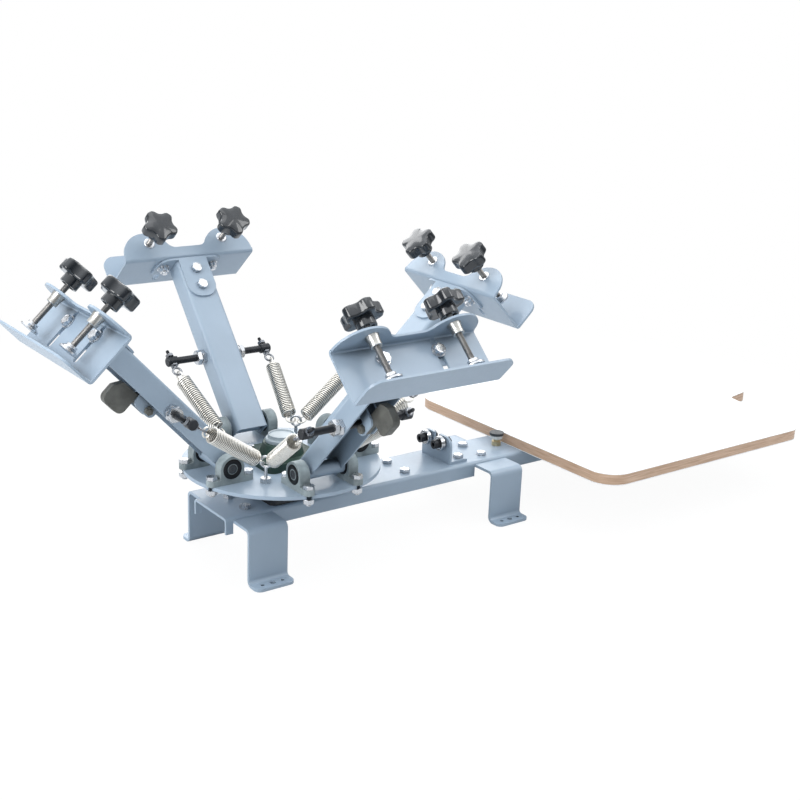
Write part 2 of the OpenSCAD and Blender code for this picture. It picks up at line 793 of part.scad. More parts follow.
module head_plate_sheet() {
    plate_x = arm_l + seat_gap;
    difference() {
        union() {
            translate([plate_x, 0, 0]) rotate([90, 0, 90]) linear_extrude(tongue_t) polygon(rounded([
                [[-plate_w / 2, -plate_drop], tongue_t], [[plate_w / 2, -plate_drop], tongue_t],
                [[plate_w / 2, channel_top], plate_w * 0.2], [[-plate_w / 2, channel_top], plate_w * 0.2]]));
            translate([0, 0, arm_top]) linear_extrude(tongue_t) polygon(rounded([
                [[plate_x + tongue_t, -arm_w * 0.46], 0], [[plate_x + tongue_t, arm_w * 0.46], 0],
                [[plate_x - tongue_l, arm_w * 0.46], arm_w * 0.4],
                [[plate_x - tongue_l, -arm_w * 0.46], arm_w * 0.4]]));
        }
        for (x = tongue_bolt_xs) translate([x, 0, arm_top + tongue_t]) bolt_hole(tongue_t);
        for (side = [-1, 1]) translate([plate_x + tongue_t, side * slot_s, slot_bolt_z]) rotate([0, 90, 0])
            bolt_hole(tongue_t);
    }
}

module washer(outer, inner, height) {
    difference() {
        cylinder(d = outer, h = height);
        translate([0, 0, -cut]) cylinder(d = inner, h = height + 2 * cut);
    }
}

washer_t = 1.6;
washer_d = 18;

module head_bolts() {
    for (x = tongue_bolt_xs) translate([x, 0, arm_top + tongue_t]) bolt(tongue_t + arm_wall);
    for (side = [-1, 1])
        translate([web_x + channel_sheet + washer_t, side * slot_s, slot_bolt_z]) rotate([0, 90, 0]) {
            bolt(washer_t + channel_sheet + seat_gap + tongue_t);
            translate([0, 0, -washer_t]) washer(washer_d, bolt_d, washer_t);
        }
}

module head_plate(k) {
    on_arm(k) {
        color([0.62, 0.70, 0.78]) head_plate_sheet();
        color([0.80, 0.80, 0.82]) head_bolts();
    }
}

/* Screen channel */

weld_nut_d = screw_d * 1.75;
weld_nut_h = screw_d * 1.75;
bump_r = bump_depth * 0.86;
bump_s = channel_w / 2 - bump_r - cut;
dip_r = dip_depth * 0.78;

// Outline of the top flange: x away from the web, y across, with two bumps and a filleted dip
module top_flange_outline() {
    bump_x = bump_depth - bump_r;
    fillet_x = dip_depth + dip_r;
    fillet_s = bump_s - sqrt(pow(bump_r + dip_r, 2) - pow(fillet_x - bump_x, 2));
    translate([0, -channel_w / 2]) square([bump_x, channel_w]);
    translate([0, -bump_s]) square([dip_depth, 2 * bump_s]);
    for (side = [-1, 1]) {
        translate([bump_x, side * bump_s]) intersection() {
            circle(bump_r, $fn = 96);
            translate([-bump_x, -bump_r]) square([bump_depth, 2 * bump_r]);
        }
        difference() {
            polygon([[dip_depth, side * fillet_s], [bump_x, side * bump_s], [fillet_x, side * fillet_s]]);
            translate([fillet_x, side * fillet_s]) circle(dip_r);
        }
    }
}

module bottom_flange_outline() {
    corner = jaw_depth * 0.34;
    polygon(rounded([[[0, -channel_w / 2], 0], [[jaw_depth, -channel_w / 2], corner],
                     [[jaw_depth, channel_w / 2], corner], [[0, channel_w / 2], 0]]));
}

// The bent channel, trimmed to one outline above its middle and to another below
module screen_channel_sheet() {
    split = channel_top - channel_h / 4;
    depth = max(bump_depth, jaw_depth);
    module folded() {
        translate([web_x, 0, channel_top - channel_h / 2]) rotate([90, 0, 0]) rotate([0, 0, 90])
            linear_extrude(channel_w, center = true)
                channel_section(channel_h, [depth, depth], channel_sheet, channel_bend);
    }
    difference() {
        union() {
            intersection() {
                folded();
                translate([web_x, 0, split]) linear_extrude(channel_h) top_flange_outline();
            }
            intersection() {
                folded();
                translate([web_x, 0, split - channel_h]) linear_extrude(channel_h) bottom_flange_outline();
            }
        }
        for (side = [-1, 1]) {
            translate([screw_x, side * screw_pitch / 2, channel_top]) bolt_hole(channel_sheet, screw_d);
            translate([web_x - cut, side * slot_s, slot_mid]) rotate([90, 0, 90])
                linear_extrude(channel_sheet + 2 * cut) {
                    square([slot_w, slot_l - slot_w], center = true);
                    for (end = [-1, 1]) translate([0, end * (slot_l - slot_w) / 2]) circle(d = slot_w);
                }
        }
    }
}

module weld_nuts() {
    for (side = [-1, 1])
        translate([screw_x, side * screw_pitch / 2, channel_top - channel_sheet - weld_nut_h])
        washer(weld_nut_d, screw_d + 2 * run_play, weld_nut_h);
}

module screen_channel(k) {
    on_arm(k) {
        color([0.62, 0.70, 0.78]) screen_channel_sheet();
        color([0.78, 0.72, 0.58]) weld_nuts();
    }
}

/* Clamp screws: each pad slides, and the knob with its rod turns above it */

hub_l = knob_h * 0.6;
hub_d = knob_d * 0.48;
knob_clear_share = 1.05;
pad_socket = pad_h * 0.5;

function screw_lift(k) = screw_lift_most * screw_lift_shares[k - 1];

module at_clamp(k, side) {
    on_arm(k) translate([screw_x, side * screw_pitch / 2, channel_floor + pad_gap + screw_lift(k)])
        children();
}

// A conical swivel pad with a socket for the rod's tip
module clamp_pad(k, side) {
    neck_d = screw_d * 1.7;
    color([0.82, 0.83, 0.85])
    at_clamp(k, side) difference() {
        rotate_extrude() polygon([[0, 0], [pad_d / 2, 0], [pad_d / 2, pad_h / 4], [neck_d / 2, pad_h * 0.7],
                                  [neck_d / 2, pad_h], [0, pad_h]]);
        translate([0, 0, pad_socket]) cylinder(d = screw_d + 2 * run_play, h = pad_h);
    }
}

// A star knob with a hub, and the threaded rod moulded into it
module clamp_knob(k, side) {
    hub_z = channel_top - channel_floor - pad_gap + pad_gap * knob_clear_share;
    notch_r = knob_d * 0.28;
    edge = knob_h * 0.11;
    at_clamp(k, side) {
        color([0.07, 0.07, 0.08]) difference() {
            union() {
                translate([0, 0, hub_z]) cylinder(d = hub_d, h = hub_l + edge);
                intersection() {
                    translate([0, 0, hub_z + hub_l]) linear_extrude(knob_h) difference() {
                        circle(d = knob_d, $fn = 96);
                        for (i = [1:knob_lobes]) rotate([0, 0, 360 * i / knob_lobes])
                            translate([knob_d * 0.68, 0]) circle(notch_r);
                    }
                    translate([0, 0, hub_z + hub_l]) rotate_extrude($fn = 96) polygon([
                        [0, 0], [knob_d / 2 - edge, 0], [knob_d / 2, edge], [knob_d / 2, knob_h - edge],
                        [knob_d / 2 - edge, knob_h], [0, knob_h]]);
                }
            }
            translate([0, 0, hub_z - cut]) cylinder(d = screw_d, h = hub_l + cut);
        }
        color([0.62, 0.62, 0.62]) translate([0, 0, pad_socket + seat_gap])
            cylinder(d = screw_d, h = hub_z + hub_l - pad_socket - seat_gap);
    }
}

/* Registration gate: a thick blade that drops between the two rollers */

module gate_blade() {
    corner = blade_l * 0.26;
    neck = lug_depth * 0.8;
    difference() {
        translate([0, 0, -arm_drop - seat_gap]) rotate([90, 0, 0]) linear_extrude(blade_t, center = true)
            polygon(rounded([
                [[lug_x, 0], 0], [[lug_x, -neck], neck / 3], [[blade_x - blade_l, -neck], neck / 3],
                [[blade_x - blade_l, -blade_depth], corner], [[blade_x, -blade_depth], corner],
                [[blade_x, -blade_depth / 3], corner / 2], [[blade_x - blade_l / 4, 0], 0]]));
        translate([lug_bolt_x, 0, lug_bolt_z]) rotate([90, 0, 0])
            cylinder(d = lug_bolt_d + 2 * hole_play, h = arm_w, center = true);
    }
}

// The gate's cross bolt, with a nut at each end
module gate_bolt() {
    half = blade_t / 2 + seat_gap + lug_t;
    flats = lug_bolt_d * 1.66;
    height = lug_bolt_d * 0.8;
    translate([lug_bolt_x, 0, lug_bolt_z]) {
        rotate([90, 0, 0]) cylinder(d = lug_bolt_d, h = 2 * (half + height + cut), center = true);
        for (side = [-1, 1]) translate([0, side * half, 0]) rotate([-side * 90, 0, 0])
            nut(lug_bolt_d, flats, height);
    }
}

module gate(k) {
    on_arm(k) {
        color([0.38, 0.37, 0.33]) gate_blade();
        color([0.80, 0.80, 0.82]) gate_bolt();
    }
}

/* Arm springs. Points below are [out, across, up] in the frame of station k, with its arm raised */

// Each loop's play beyond the wire that it hangs on: the upper one's follows the swing of the arm
post_slack = 1.2;
eye_slack = 0.9;
bar_nut_flats = bar_d * 1.75;
bar_nut_h = bar_d * 1.1;
bar_boss_d = 15;
bar_boss_l = 16;
eye_shank_d = 5;
eye_wire = 3.2;
eye_d = eye_shank_d * 2.4;
loop_d = coil_d * 0.64;
coil_curls = 9;
curl_rings = 8;
tube_sides = 6;

// Where the two wires meet: on the post ring's nearer side, and at the eye bolt's pull point
hook_r = (post_r + ring_d / 2) * cos(45);
hook_s = (post_r - ring_d / 2) * cos(45);
function bar_r(k) = pivot_r + bar_x * cos(raised(k)) - bar_h * sin(raised(k));
function bar_z(k) = pivot_z + bar_x * sin(raised(k)) + bar_h * cos(raised(k));
function bar_to_hook(k) = [hook_r - bar_r(k), 0, post_z - bar_z(k)];
function eye_pull(k) = [bar_r(k), bar_eye_s, bar_z(k)] + toward(bar_to_hook(k)) * eye_reach;
function spring_run(k) = eye_pull(k) - [hook_r, hook_s, post_z];
function spring_tilt(run) = atan2(run.z, norm([run.x, run.y]));
function spring_lean(run) = atan2(run.y, run.x);

// The loops' centres and the ends of the coil, along the spring from the post
loop_r = loop_d / 2;
post_loop_z = loop_r - coil_wire / 2 - ring_wire / 2 - post_slack;
coil_start = post_loop_z + loop_r + coil_wire;
coil_r = (coil_d - coil_wire) / 2;
function eye_loop_z(k) = norm(spring_run(k)) - loop_r + coil_wire / 2 + eye_wire / 2 + eye_slack;
function coil_end(k) = eye_loop_z(k) - loop_r - 3 * coil_wire;

// Puts z along the spring, x up and y across
module on_spring(k, side) {
    at_station(k) mirror([0, side > 0 ? 0 : 1, 0]) translate([hook_r, hook_s, post_z])
        rotate([0, 0, spring_lean(spring_run(k))]) rotate([0, 90 - spring_tilt(spring_run(k)), 0]) children();
}

// The wire's path: a loop round the post ring, a short rise, the curls and a straight end
loop_turn = 300;
loop_rings = curl_rings + 1;
loop_points = [
    for (i = [0:loop_rings - 1])
        let (turn = half_turn - loop_turn / 2 + loop_turn * i / (loop_rings - 1))
        [0, loop_r * sin(turn), post_loop_z + loop_r * cos(turn)]
];
function curl_points(finish) = [
    for (i = [0:coil_curls * curl_rings])
        let (turn = 360 * i / curl_rings)
        [coil_r * cos(turn), coil_r * sin(turn),
         coil_start + (finish - coil_start) * i / (coil_curls * curl_rings)]
];
function end_points(finish) = [[0, 0, finish + coil_wire / 2], [0, 0, finish + 1.5 * coil_wire]];
function wire_path(finish) = concat(loop_points, curl_points(finish), end_points(finish));

// The direction at a path point is that of the line between its neighbours
function path_way(path, i) =
    toward(path[min(i + 1, len(path) - 1)] - path[max(i - 1, 0)]);

// Carries the ring's side vector along without twist
function carried(path, i, side) =
    let (way = path_way(path, i), flat = side - way * (side * way))
    toward(flat);
function side_vectors(path, i = 0, side = [1, 0, 0], done = []) =
    i == len(path) ? done
        : let (next = carried(path, i, side)) side_vectors(path, i + 1, next, concat(done, [next]));

module wire_tube(path, diameter) {
    sides = side_vectors(path);
    rings = len(path);
    points = [
        for (i = [0:rings - 1])
            let (a = sides[i], b = cross(path_way(path, i), a))
            for (j = [0:tube_sides - 1])
                path[i] + diameter / 2 * (a * cos(360 * j / tube_sides) + b * sin(360 * j / tube_sides))
    ];
    walls = [
        for (i = [0:rings - 2], j = [0:tube_sides - 1])
            let (here = i * tube_sides, next = (j + 1) % tube_sides)
            each [[here + j, here + tube_sides + j, here + next],
                  [here + next, here + tube_sides + j, here + tube_sides + next]]
    ];
    last = (rings - 1) * tube_sides;
    caps = [
        for (j = [1:tube_sides - 2])
            each [[0, j, j + 1], [last, last + j + 1, last + j]]
    ];
    polyhedron(points, concat(walls, caps));
}

module spring_coils(k) {
    color([0.85, 0.86, 0.88]) for (side = [-1, 1]) on_spring(k, side)
        wire_tube(wire_path(coil_end(k)), coil_wire);
}

// The upper end of each spring: a closed loop on a short straight shank
module spring_hooks(k) {
    foot = end_points(coil_end(k))[1].z + seat_gap;
    color([0.85, 0.86, 0.88]) for (side = [-1, 1]) on_spring(k, side) {
        translate([0, 0, eye_loop_z(k)]) rotate([90, 0, 0]) rotate_extrude()
            translate([loop_r, 0]) circle(d = coil_wire, $fn = 24);
        translate([0, 0, foot]) cylinder(d = coil_wire, h = eye_loop_z(k) - loop_r - foot);
    }
}

// The cross bar with its nuts, and an eye bolt with its nut through each end
module spring_bar(k) {
    half = bar_eye_s + bar_boss_l / 2;
    on_arm(k) translate([bar_x, 0, bar_h]) {
        color([0.10, 0.10, 0.11]) difference() {
            union() {
                rotate([90, 0, 0]) cylinder(d = bar_d, h = 2 * half - bar_boss_l, center = true);
                for (side = [-1, 1]) translate([0, side * bar_eye_s, 0]) rotate([90, 0, 0])
                    cylinder(d = bar_boss_d, h = bar_boss_l, center = true);
            }
            for (side = [-1, 1]) translate([0, side * bar_eye_s, 0]) along_eye(k)
                cylinder(d = eye_shank_d + 2 * hole_play, h = 2 * bar_boss_d, center = true);
        }
        color([0.80, 0.80, 0.82]) for (side = [-1, 1]) {
            translate([0, side * arm_w / 2, 0]) rotate([-side * 90, 0, 0])
                nut(bar_d, bar_nut_flats, bar_nut_h);
            translate([0, side * bar_eye_s, 0]) along_eye(k) eye_bolt();
        }
    }
}

// Turns z toward the post, seen from the raised arm's frame
module along_eye(k) {
    way = bar_to_hook(k);
    rotate([0, 90 + atan2(-way.z, way.x) + raised(k), 0]) children();
}

// The eye's ring lies across the arm, so that the spring's loop hangs on its outer curve
module eye_bolt() {
    ring_z = eye_reach - eye_d / 2;
    nut_flats = eye_shank_d * 2;
    tip = bar_boss_d / 2 + eye_shank_d * 2.4;
    translate([0, 0, -tip]) cylinder(d = eye_shank_d, h = tip + ring_z - eye_d / 2);
    translate([0, 0, ring_z]) rotate([0, 90, 0]) rotate_extrude()
        translate([eye_d / 2, 0]) circle(d = eye_wire, $fn = 24);
    translate([0, 0, -bar_boss_d / 2]) mirror([0, 0, 1]) nut(eye_shank_d, nut_flats, eye_shank_d * 0.9);
}

// Least distance between two stretches of a spring's wire that lie a curl or more apart
wire_gap = min([
    for (k = stations)
        let (path = wire_path(coil_end(k)), last = len(path) - 1)
        for (i = [0:last], j = [i + curl_rings - 2:last]) norm(path[i] - path[j]) - coil_wire
]);
echo(least_wire_gap = wire_gap, curls = 2 * len([for (k = stations) k]) * (coil_curls + 1));

/* Nodes */

base_nodes = ["base_beam", "foot_straps", "frame_bolts", "platen", "roller_bracket", "roller_left",
              "roller_right", "roller_screws", "stop_stud", "spindle"];
turret_nodes = ["turntable", "hub_bearing", "hub_cap", "spring_posts", "pillow_blocks", "turret_bolts"];
arm_nodes = ["arm_tube", "head_plate", "screen_channel", "gate", "spring_bar", "spring_coils", "spring_hooks",
             "clamp_pad_left", "clamp_pad_right", "clamp_knob_left", "clamp_knob_right"];

base_beam();
foot_straps();
frame_bolts();
platen();
roller_bracket();
roller(1);  // roller_left
roller(-1);  // roller_right
roller_screws();
stop_stud();
spindle();
turntable();
hub_bearing();
hub_cap();
spring_posts();
pillow_blocks();
turret_bolts();
for (k = stations) {
    arm_tubes(k);
    head_plate(k);
    screen_channel(k);
    gate(k);
    spring_bar(k);
    spring_coils(k);
    spring_hooks(k);
    clamp_pad(k, 1);
    clamp_pad(k, -1);
    clamp_knob(k, 1);
    clamp_knob(k, -1);
}
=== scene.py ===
"""Looks of a tabletop screen printing press: paint, plating, castings, springs, threads and knobs
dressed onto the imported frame. All lengths are metres in the frame's own axes."""

import math

import bpy
from mathutils import Matrix, Vector


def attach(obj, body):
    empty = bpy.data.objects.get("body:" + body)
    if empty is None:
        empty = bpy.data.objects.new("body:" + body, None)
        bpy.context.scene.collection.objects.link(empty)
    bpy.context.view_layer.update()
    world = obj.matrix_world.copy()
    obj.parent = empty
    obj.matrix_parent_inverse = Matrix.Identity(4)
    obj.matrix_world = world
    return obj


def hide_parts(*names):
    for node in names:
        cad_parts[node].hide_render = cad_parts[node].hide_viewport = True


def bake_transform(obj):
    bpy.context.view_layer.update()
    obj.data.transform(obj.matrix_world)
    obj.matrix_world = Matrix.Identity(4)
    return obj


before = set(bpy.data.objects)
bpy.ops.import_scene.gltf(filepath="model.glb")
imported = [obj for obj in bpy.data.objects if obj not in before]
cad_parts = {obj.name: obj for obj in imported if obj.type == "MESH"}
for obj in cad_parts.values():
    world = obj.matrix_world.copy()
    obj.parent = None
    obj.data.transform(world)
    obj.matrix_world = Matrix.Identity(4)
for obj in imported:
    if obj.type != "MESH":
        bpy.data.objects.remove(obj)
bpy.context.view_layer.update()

MM = 0.001

# Places and sizes that the frame's solids have
HUB_X = -134 * MM
BEAM_TOP = 82 * MM
BEAM_SHEET = 3.5 * MM
TABLE_TOP = 130 * MM
TABLE_T = 5 * MM
PIVOT_R = 100 * MM
PIVOT_Z = 150 * MM
RAISED = {1: math.radians(43.5), 2: math.radians(49), 3: math.radians(47), 4: math.radians(47)}
STATIONS = (1, 2, 3, 4)
SIDES = (("left", 1), ("right", -1))

# The arm's own sizes: out along the arm, across it, and up from the pivot
ARM_TOP = 22 * MM
ARM_HALF_W = 24 * MM
ARM_L = 256 * MM
PLATE_T = 3 * MM
WEB_X = 259.6 * MM + PLATE_T
CHANNEL_TOP = 25 * MM
CHANNEL_FLOOR = -44 * MM
SCREW_X = 286.6 * MM
SCREW_S = 58 * MM
PAD_GAP = 7 * MM
SCREW_LIFTS = {1: 14 * MM, 2: 17 * MM, 3: 5 * MM, 4: 0.0}
BAR_X = 111 * MM
BAR_H = 2 * MM
BAR_EYE_S = 74 * MM

# Fasteners: M8 all over the frame. A dressed one stands a little proud of the frame's plain one
HEX_FLATS = 13 * MM
HEAD_H = 5.3 * MM
NUT_H = 6.5 * MM
BOLT_R = 4 * MM
BOLT_PITCH = 1.25 * MM
BOLT_TIP = 3 * MM
PROUD = 0.12 * MM

# Springs, their posts and the eyes they hang in
POST_R = 86 * MM
POST_RING_R = 7 * MM
POST_Z = 158 * MM
RING_WIRE = 3.6 * MM
EYE_REACH = 24 * MM
EYE_WIRE = 3.2 * MM
EYE_R = 6 * MM
SPRING_WIRE = 2.4 * MM
COIL_R = 9.5 * MM
LOOP_R = 6.4 * MM
POST_SLACK = 1.2 * MM
EYE_SLACK = 0.9 * MM


# ---- Placing ----

def at(x, y, z):
    """A place, unturned."""
    return Matrix.Translation((x, y, z))


def station(k):
    """From a station's own axes, turned about the hub, to the frame."""
    return at(HUB_X, 0, 0) @ Matrix.Rotation(math.pi / 2 * (k - 1), 4, "Z")


def arm(k):
    """From the raised arm's own axes to the frame."""
    return station(k) @ at(PIVOT_R, 0, PIVOT_Z) @ Matrix.Rotation(-RAISED[k], 4, "Y")


def facing(direction, place):
    """Puts +Z along a direction, at a place."""
    turn = Vector((0, 0, 1)).rotation_difference(Vector(direction))
    return Matrix.Translation(place) @ turn.to_matrix().to_4x4()


DOWN = Matrix.Rotation(math.pi, 4, "X")
OUTWARD = Matrix.Rotation(math.pi / 2, 4, "Y")
INWARD = Matrix.Rotation(-math.pi / 2, 4, "Y")


def sideways(sign):
    """Turns +Z to the left or the right side, +Y or -Y."""
    return Matrix.Rotation(-sign * math.pi / 2, 4, "X")


# ---- Meshes ----

def around(count):
    """The angles of so many even steps round a circle."""
    return [2 * math.pi * j / count for j in range(count)]


def ring_skin(rings):
    """Vertices and faces of a skin through rings of as many points each, closed at both ends."""
    count = len(rings[0])
    vertices = [point for ring in rings for point in ring]
    faces = []
    for i in range(len(rings) - 1):
        for j in range(count):
            a, b = i * count + j, i * count + (j + 1) % count
            faces.append((a, b, b + count, a + count))
    faces.append(tuple(range(count))[::-1])
    last = (len(rings) - 1) * count
    faces.append(tuple(range(last, last + count)))
    return vertices, faces


def circle_ring(radius, height, segments=36):
    return [(radius * math.cos(turn), radius * math.sin(turn), height) for turn in around(segments)]


def lathe(profile, segments=48):
    """A turned closed skin: profile is (radius, height) from the bottom centre to the top."""
    return ring_skin([circle_ring(radius, height, segments) for radius, height in profile])


def lathe_ring(profile, segments=48):
    """A turned skin whose profile closes on itself, as on a washer or a bearing ring."""
    vertices, faces = [], []
    count = len(profile)
    for turn in around(segments):
        vertices += [(r * math.cos(turn), r * math.sin(turn), z) for r, z in profile]
    for j in range(segments):
        for i in range(count):
            a, b = j * count + i, j * count + (i + 1) % count
            onward = (j + 1) % segments * count
            c, d = onward + (i + 1) % count, onward + i
            faces.append((a, d, c, b))
    return vertices, faces


def tube(path, radius, sides=10):
    """A round tube along a path, with flat ends."""
    points = [Vector(p) for p in path]
    ways = []
    for i in range(len(points)):
        ways.append((points[min(i + 1, len(points) - 1)] - points[max(i - 1, 0)]).normalized())
    side = ways[0].orthogonal().normalized()
    rings = []
    for point, way in zip(points, ways):
        side = (side - way * side.dot(way)).normalized()
        other = way.cross(side)
        rings.append([
            tuple(point + radius * (side * math.cos(turn) + other * math.sin(turn)))
            for turn in around(sides)
        ])
    return ring_skin(rings)


def bridge(start, start_way, end, end_way, steps=8):
    """Points of a smooth curve between two points with given directions, without the ends."""
    start, end = Vector(start), Vector(end)
    reach = (end - start).length
    a, b = Vector(start_way).normalized() * reach, Vector(end_way).normalized() * reach
    points = []
    for i in range(1, steps):
        t = i / steps
        points.append(
            (2 * t ** 3 - 3 * t ** 2 + 1) * start + (t ** 3 - 2 * t ** 2 + t) * a
            + (3 * t ** 2 - 2 * t ** 3) * end + (t ** 3 - t ** 2) * b
        )
    return points


# A thread's depth in pitches, how deep it is cut at even steps of a turn, and its run-out in steps
THREAD_DEPTH_SHARE = 0.54
THREAD_CUTS = (0.06, 0.5, 1.0, 0.5)
THREAD_RUN_OUT = 4


def thread(radius, pitch, low, high, segments=20):
    """A right-hand thread, cut into a rod of the given radius and run out at both ends."""
    depth = pitch * THREAD_DEPTH_SHARE
    count = len(THREAD_CUTS)
    steps = max(2, int((high - low) / pitch * count))
    rings = []
    for i in range(steps + 1):
        z = low + (high - low) * i / steps
        eased = min(1.0, (i + 0.4) / THREAD_RUN_OUT, (steps - i + 0.4) / THREAD_RUN_OUT)
        ring = []
        for j, turn in enumerate(around(segments)):
            phase = ((z - low) / pitch - j / segments) % 1 * count
            k = int(phase)
            here, onward = THREAD_CUTS[k % count], THREAD_CUTS[(k + 1) % count]
            share = here * (1 - phase + k) + onward * (phase - k)
            r = radius - depth * (share * eased + (1 - eased))
            ring.append((r * math.cos(turn), r * math.sin(turn), z))
        rings.append(ring)
    return ring_skin(rings)


def hexagon_ring(flats, height, segments=36, drop=0.0):
    """A hexagon's outline; with drop, its corners fall away as on a chamfered head."""
    half_side = math.pi / 6
    points = []
    for turn in around(segments):
        local = (turn + half_side) % (math.pi / 3) - half_side
        r = flats / 2 / math.cos(local)
        fall = drop * (r / (flats / 2) - 1) / (1 / math.cos(half_side) - 1)
        points.append((r * math.cos(turn), r * math.sin(turn), height - fall))
    return points


def hex_head(flats=HEX_FLATS, height=HEAD_H):
    """A chamfered head on a thin washer face, with its bearing face at z = 0."""
    return ring_skin([
        circle_ring(flats * 0.47, 0),
        circle_ring(flats * 0.48, height * 0.06),
        hexagon_ring(flats, height * 0.07),
        hexagon_ring(flats, height, drop=height * 0.16),
        circle_ring(flats * 0.46, height),
        circle_ring(flats * 0.33, height * 0.985),
    ])


def nut_with_tip():
    """A nut with the bolt's threaded tip past it, with its bearing face at z = 0."""
    return merged(
        ring_skin([
            circle_ring(HEX_FLATS * 0.47, 0),
            hexagon_ring(HEX_FLATS, NUT_H * 0.02 + HEX_FLATS * 0.02),
            hexagon_ring(HEX_FLATS, NUT_H, drop=NUT_H * 0.14),
            circle_ring(HEX_FLATS * 0.45, NUT_H),
            circle_ring(BOLT_R * 1.1, NUT_H * 0.985),
        ]),
        thread(BOLT_R, BOLT_PITCH, NUT_H * 0.7, NUT_H + BOLT_TIP, 16),
    )


def merged(*parts):
    """Several parts as one."""
    vertices, faces = [], []
    for part_vertices, part_faces in parts:
        start = len(vertices)
        vertices += list(part_vertices)
        faces += [tuple(index + start for index in face) for face in part_faces]
    return vertices, faces


def moved(part, matrix):
    """A part in another place, with its faces still outward when the move mirrors it."""
    vertices, faces = part
    flip = matrix.determinant() < 0
    return (
        [tuple(matrix @ Vector(v)) for v in vertices],
        [tuple(reversed(face)) for face in faces] if flip else list(faces),
    )


# ---- Pieces ----

SHARP_EDGE = math.radians(35)


def part_mesh(name, part):
    """A mesh from vertices and faces, smooth but for its sharp edges."""
    vertices, faces = part
    mesh = bpy.data.meshes.new(name)
    mesh.from_pydata([tuple(v) for v in vertices], [], faces)
    mesh.shade_smooth()
    mesh.set_sharp_from_angle(angle=SHARP_EDGE)
    return mesh


def linked(name, data):
    """A new object in the scene, at the origin and unturned."""
    made = bpy.data.objects.new(name, data)
    bpy.context.scene.collection.objects.link(made)
    return made


def placed(made, body, replaces):
    """Has a piece ride on its body, where one is given and the nodes it replaces."""
    if body:
        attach(made, body)
    if replaces:
        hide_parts(*replaces)
    return made


def piece(name, part, material, body, replaces=()):
    """An object of its own from vertices and faces in the frame, riding on a body."""
    mesh = part_mesh(name, part)
    mesh.materials.append(material)
    return placed(linked(name, mesh), body, replaces)


# ---- Geometry Nodes: one fastener on each place ----

def fastener_tree():
    """A tree that puts one pattern object on every point, turned by the point's own angles, and
    gives plain geometry with its material."""
    tree = bpy.data.node_groups.new("fasteners_on_places", "GeometryNodeTree")
    tree.interface.new_socket("Places", in_out="INPUT", socket_type="NodeSocketGeometry")
    tree.interface.new_socket("Fastener", in_out="INPUT", socket_type="NodeSocketObject")
    tree.interface.new_socket("Size", in_out="INPUT", socket_type="NodeSocketFloat")
    tree.interface.new_socket("Finish", in_out="INPUT", socket_type="NodeSocketMaterial")
    tree.interface.new_socket("Fasteners", in_out="OUTPUT", socket_type="NodeSocketGeometry")
    made = tree.nodes
    given = made.new("NodeGroupInput")
    fastener = made.new("GeometryNodeObjectInfo")
    turn = made.new("GeometryNodeInputNamedAttribute")
    turn.data_type = "FLOAT_VECTOR"
    turn.inputs["Name"].default_value = "turn"
    euler = made.new("FunctionNodeEulerToRotation")
    spread = made.new("GeometryNodeInstanceOnPoints")
    realize = made.new("GeometryNodeRealizeInstances")
    finish = made.new("GeometryNodeSetMaterial")
    out = made.new("NodeGroupOutput")
    link = tree.links.new
    link(given.outputs["Places"], spread.inputs["Points"])
    link(given.outputs["Fastener"], fastener.inputs["Object"])
    link(fastener.outputs["Geometry"], spread.inputs["Instance"])
    link(turn.outputs["Attribute"], euler.inputs["Euler"])
    link(euler.outputs["Rotation"], spread.inputs["Rotation"])
    link(given.outputs["Size"], spread.inputs["Scale"])
    link(spread.outputs["Instances"], realize.inputs["Geometry"])
    link(realize.outputs["Geometry"], finish.inputs["Geometry"])
    link(given.outputs["Finish"], finish.inputs["Material"])
    link(finish.outputs["Geometry"], out.inputs["Fasteners"])
    return tree


FASTENER_TREE = fastener_tree()


def fasteners(name, part, places, material, body, replaces=(), size=1.0):
    """One plain mesh with the part at each place, made by the fastener tree."""
    pattern = linked(name + "_pattern", part_mesh(name + "_pattern", part))
    points = bpy.data.meshes.new(name + "_places")
    points.from_pydata([tuple(place.to_translation()) for place in places], [], [])
    turns = points.attributes.new("turn", "FLOAT_VECTOR", "POINT")
    for i, place in enumerate(places):
        turns.data[i].vector = place.to_euler()
    carrier = linked(name + "_places", points)
    modifier = carrier.modifiers.new("fasteners", "NODES")
    modifier.node_group = FASTENER_TREE
    values = {"Fastener": pattern, "Size": size, "Finish": material}
    for item in FASTENER_TREE.interface.items_tree:
        if item.in_out == "INPUT" and item.name in values:
            modifier[item.identifier] = values[item.name]
    bpy.context.view_layer.update()
    finished = carrier.evaluated_get(bpy.context.evaluated_depsgraph_get())
    result = bpy.data.meshes.new_from_object(finished)
    result.name = name
    made = linked(name, result)
    bpy.data.objects.remove(carrier)
    bpy.data.objects.remove(pattern)
    return placed(made, body, replaces)


# ---- Materials ----

def finish(name):
    """A new material with its shader: (material, nodes, links, shader)."""
    material = bpy.data.materials.new(name)
    material.use_nodes = True
    nodes, links = material.node_tree.nodes, material.node_tree.links
    return material, nodes, links, nodes["Principled BSDF"]


def object_noise(nodes, links, scale, detail=3.0, roughness=0.5):
    """Noise that stays with the object: scale is its grains in a metre."""
    place = nodes.new("ShaderNodeTexCoord")
    noise = nodes.new("ShaderNodeTexNoise")
    noise.inputs["Scale"].default_value = scale
    noise.inputs["Detail"].default_value = detail
    noise.inputs["Roughness"].default_value = roughness
    links.new(place.outputs["Object"], noise.inputs["Vector"])
    return noise.outputs["Fac"]


def toned(colour, share, lift=0.0):
    """A lighter or darker colour."""
    return tuple(min(1.0, channel * share + lift) for channel in colour)


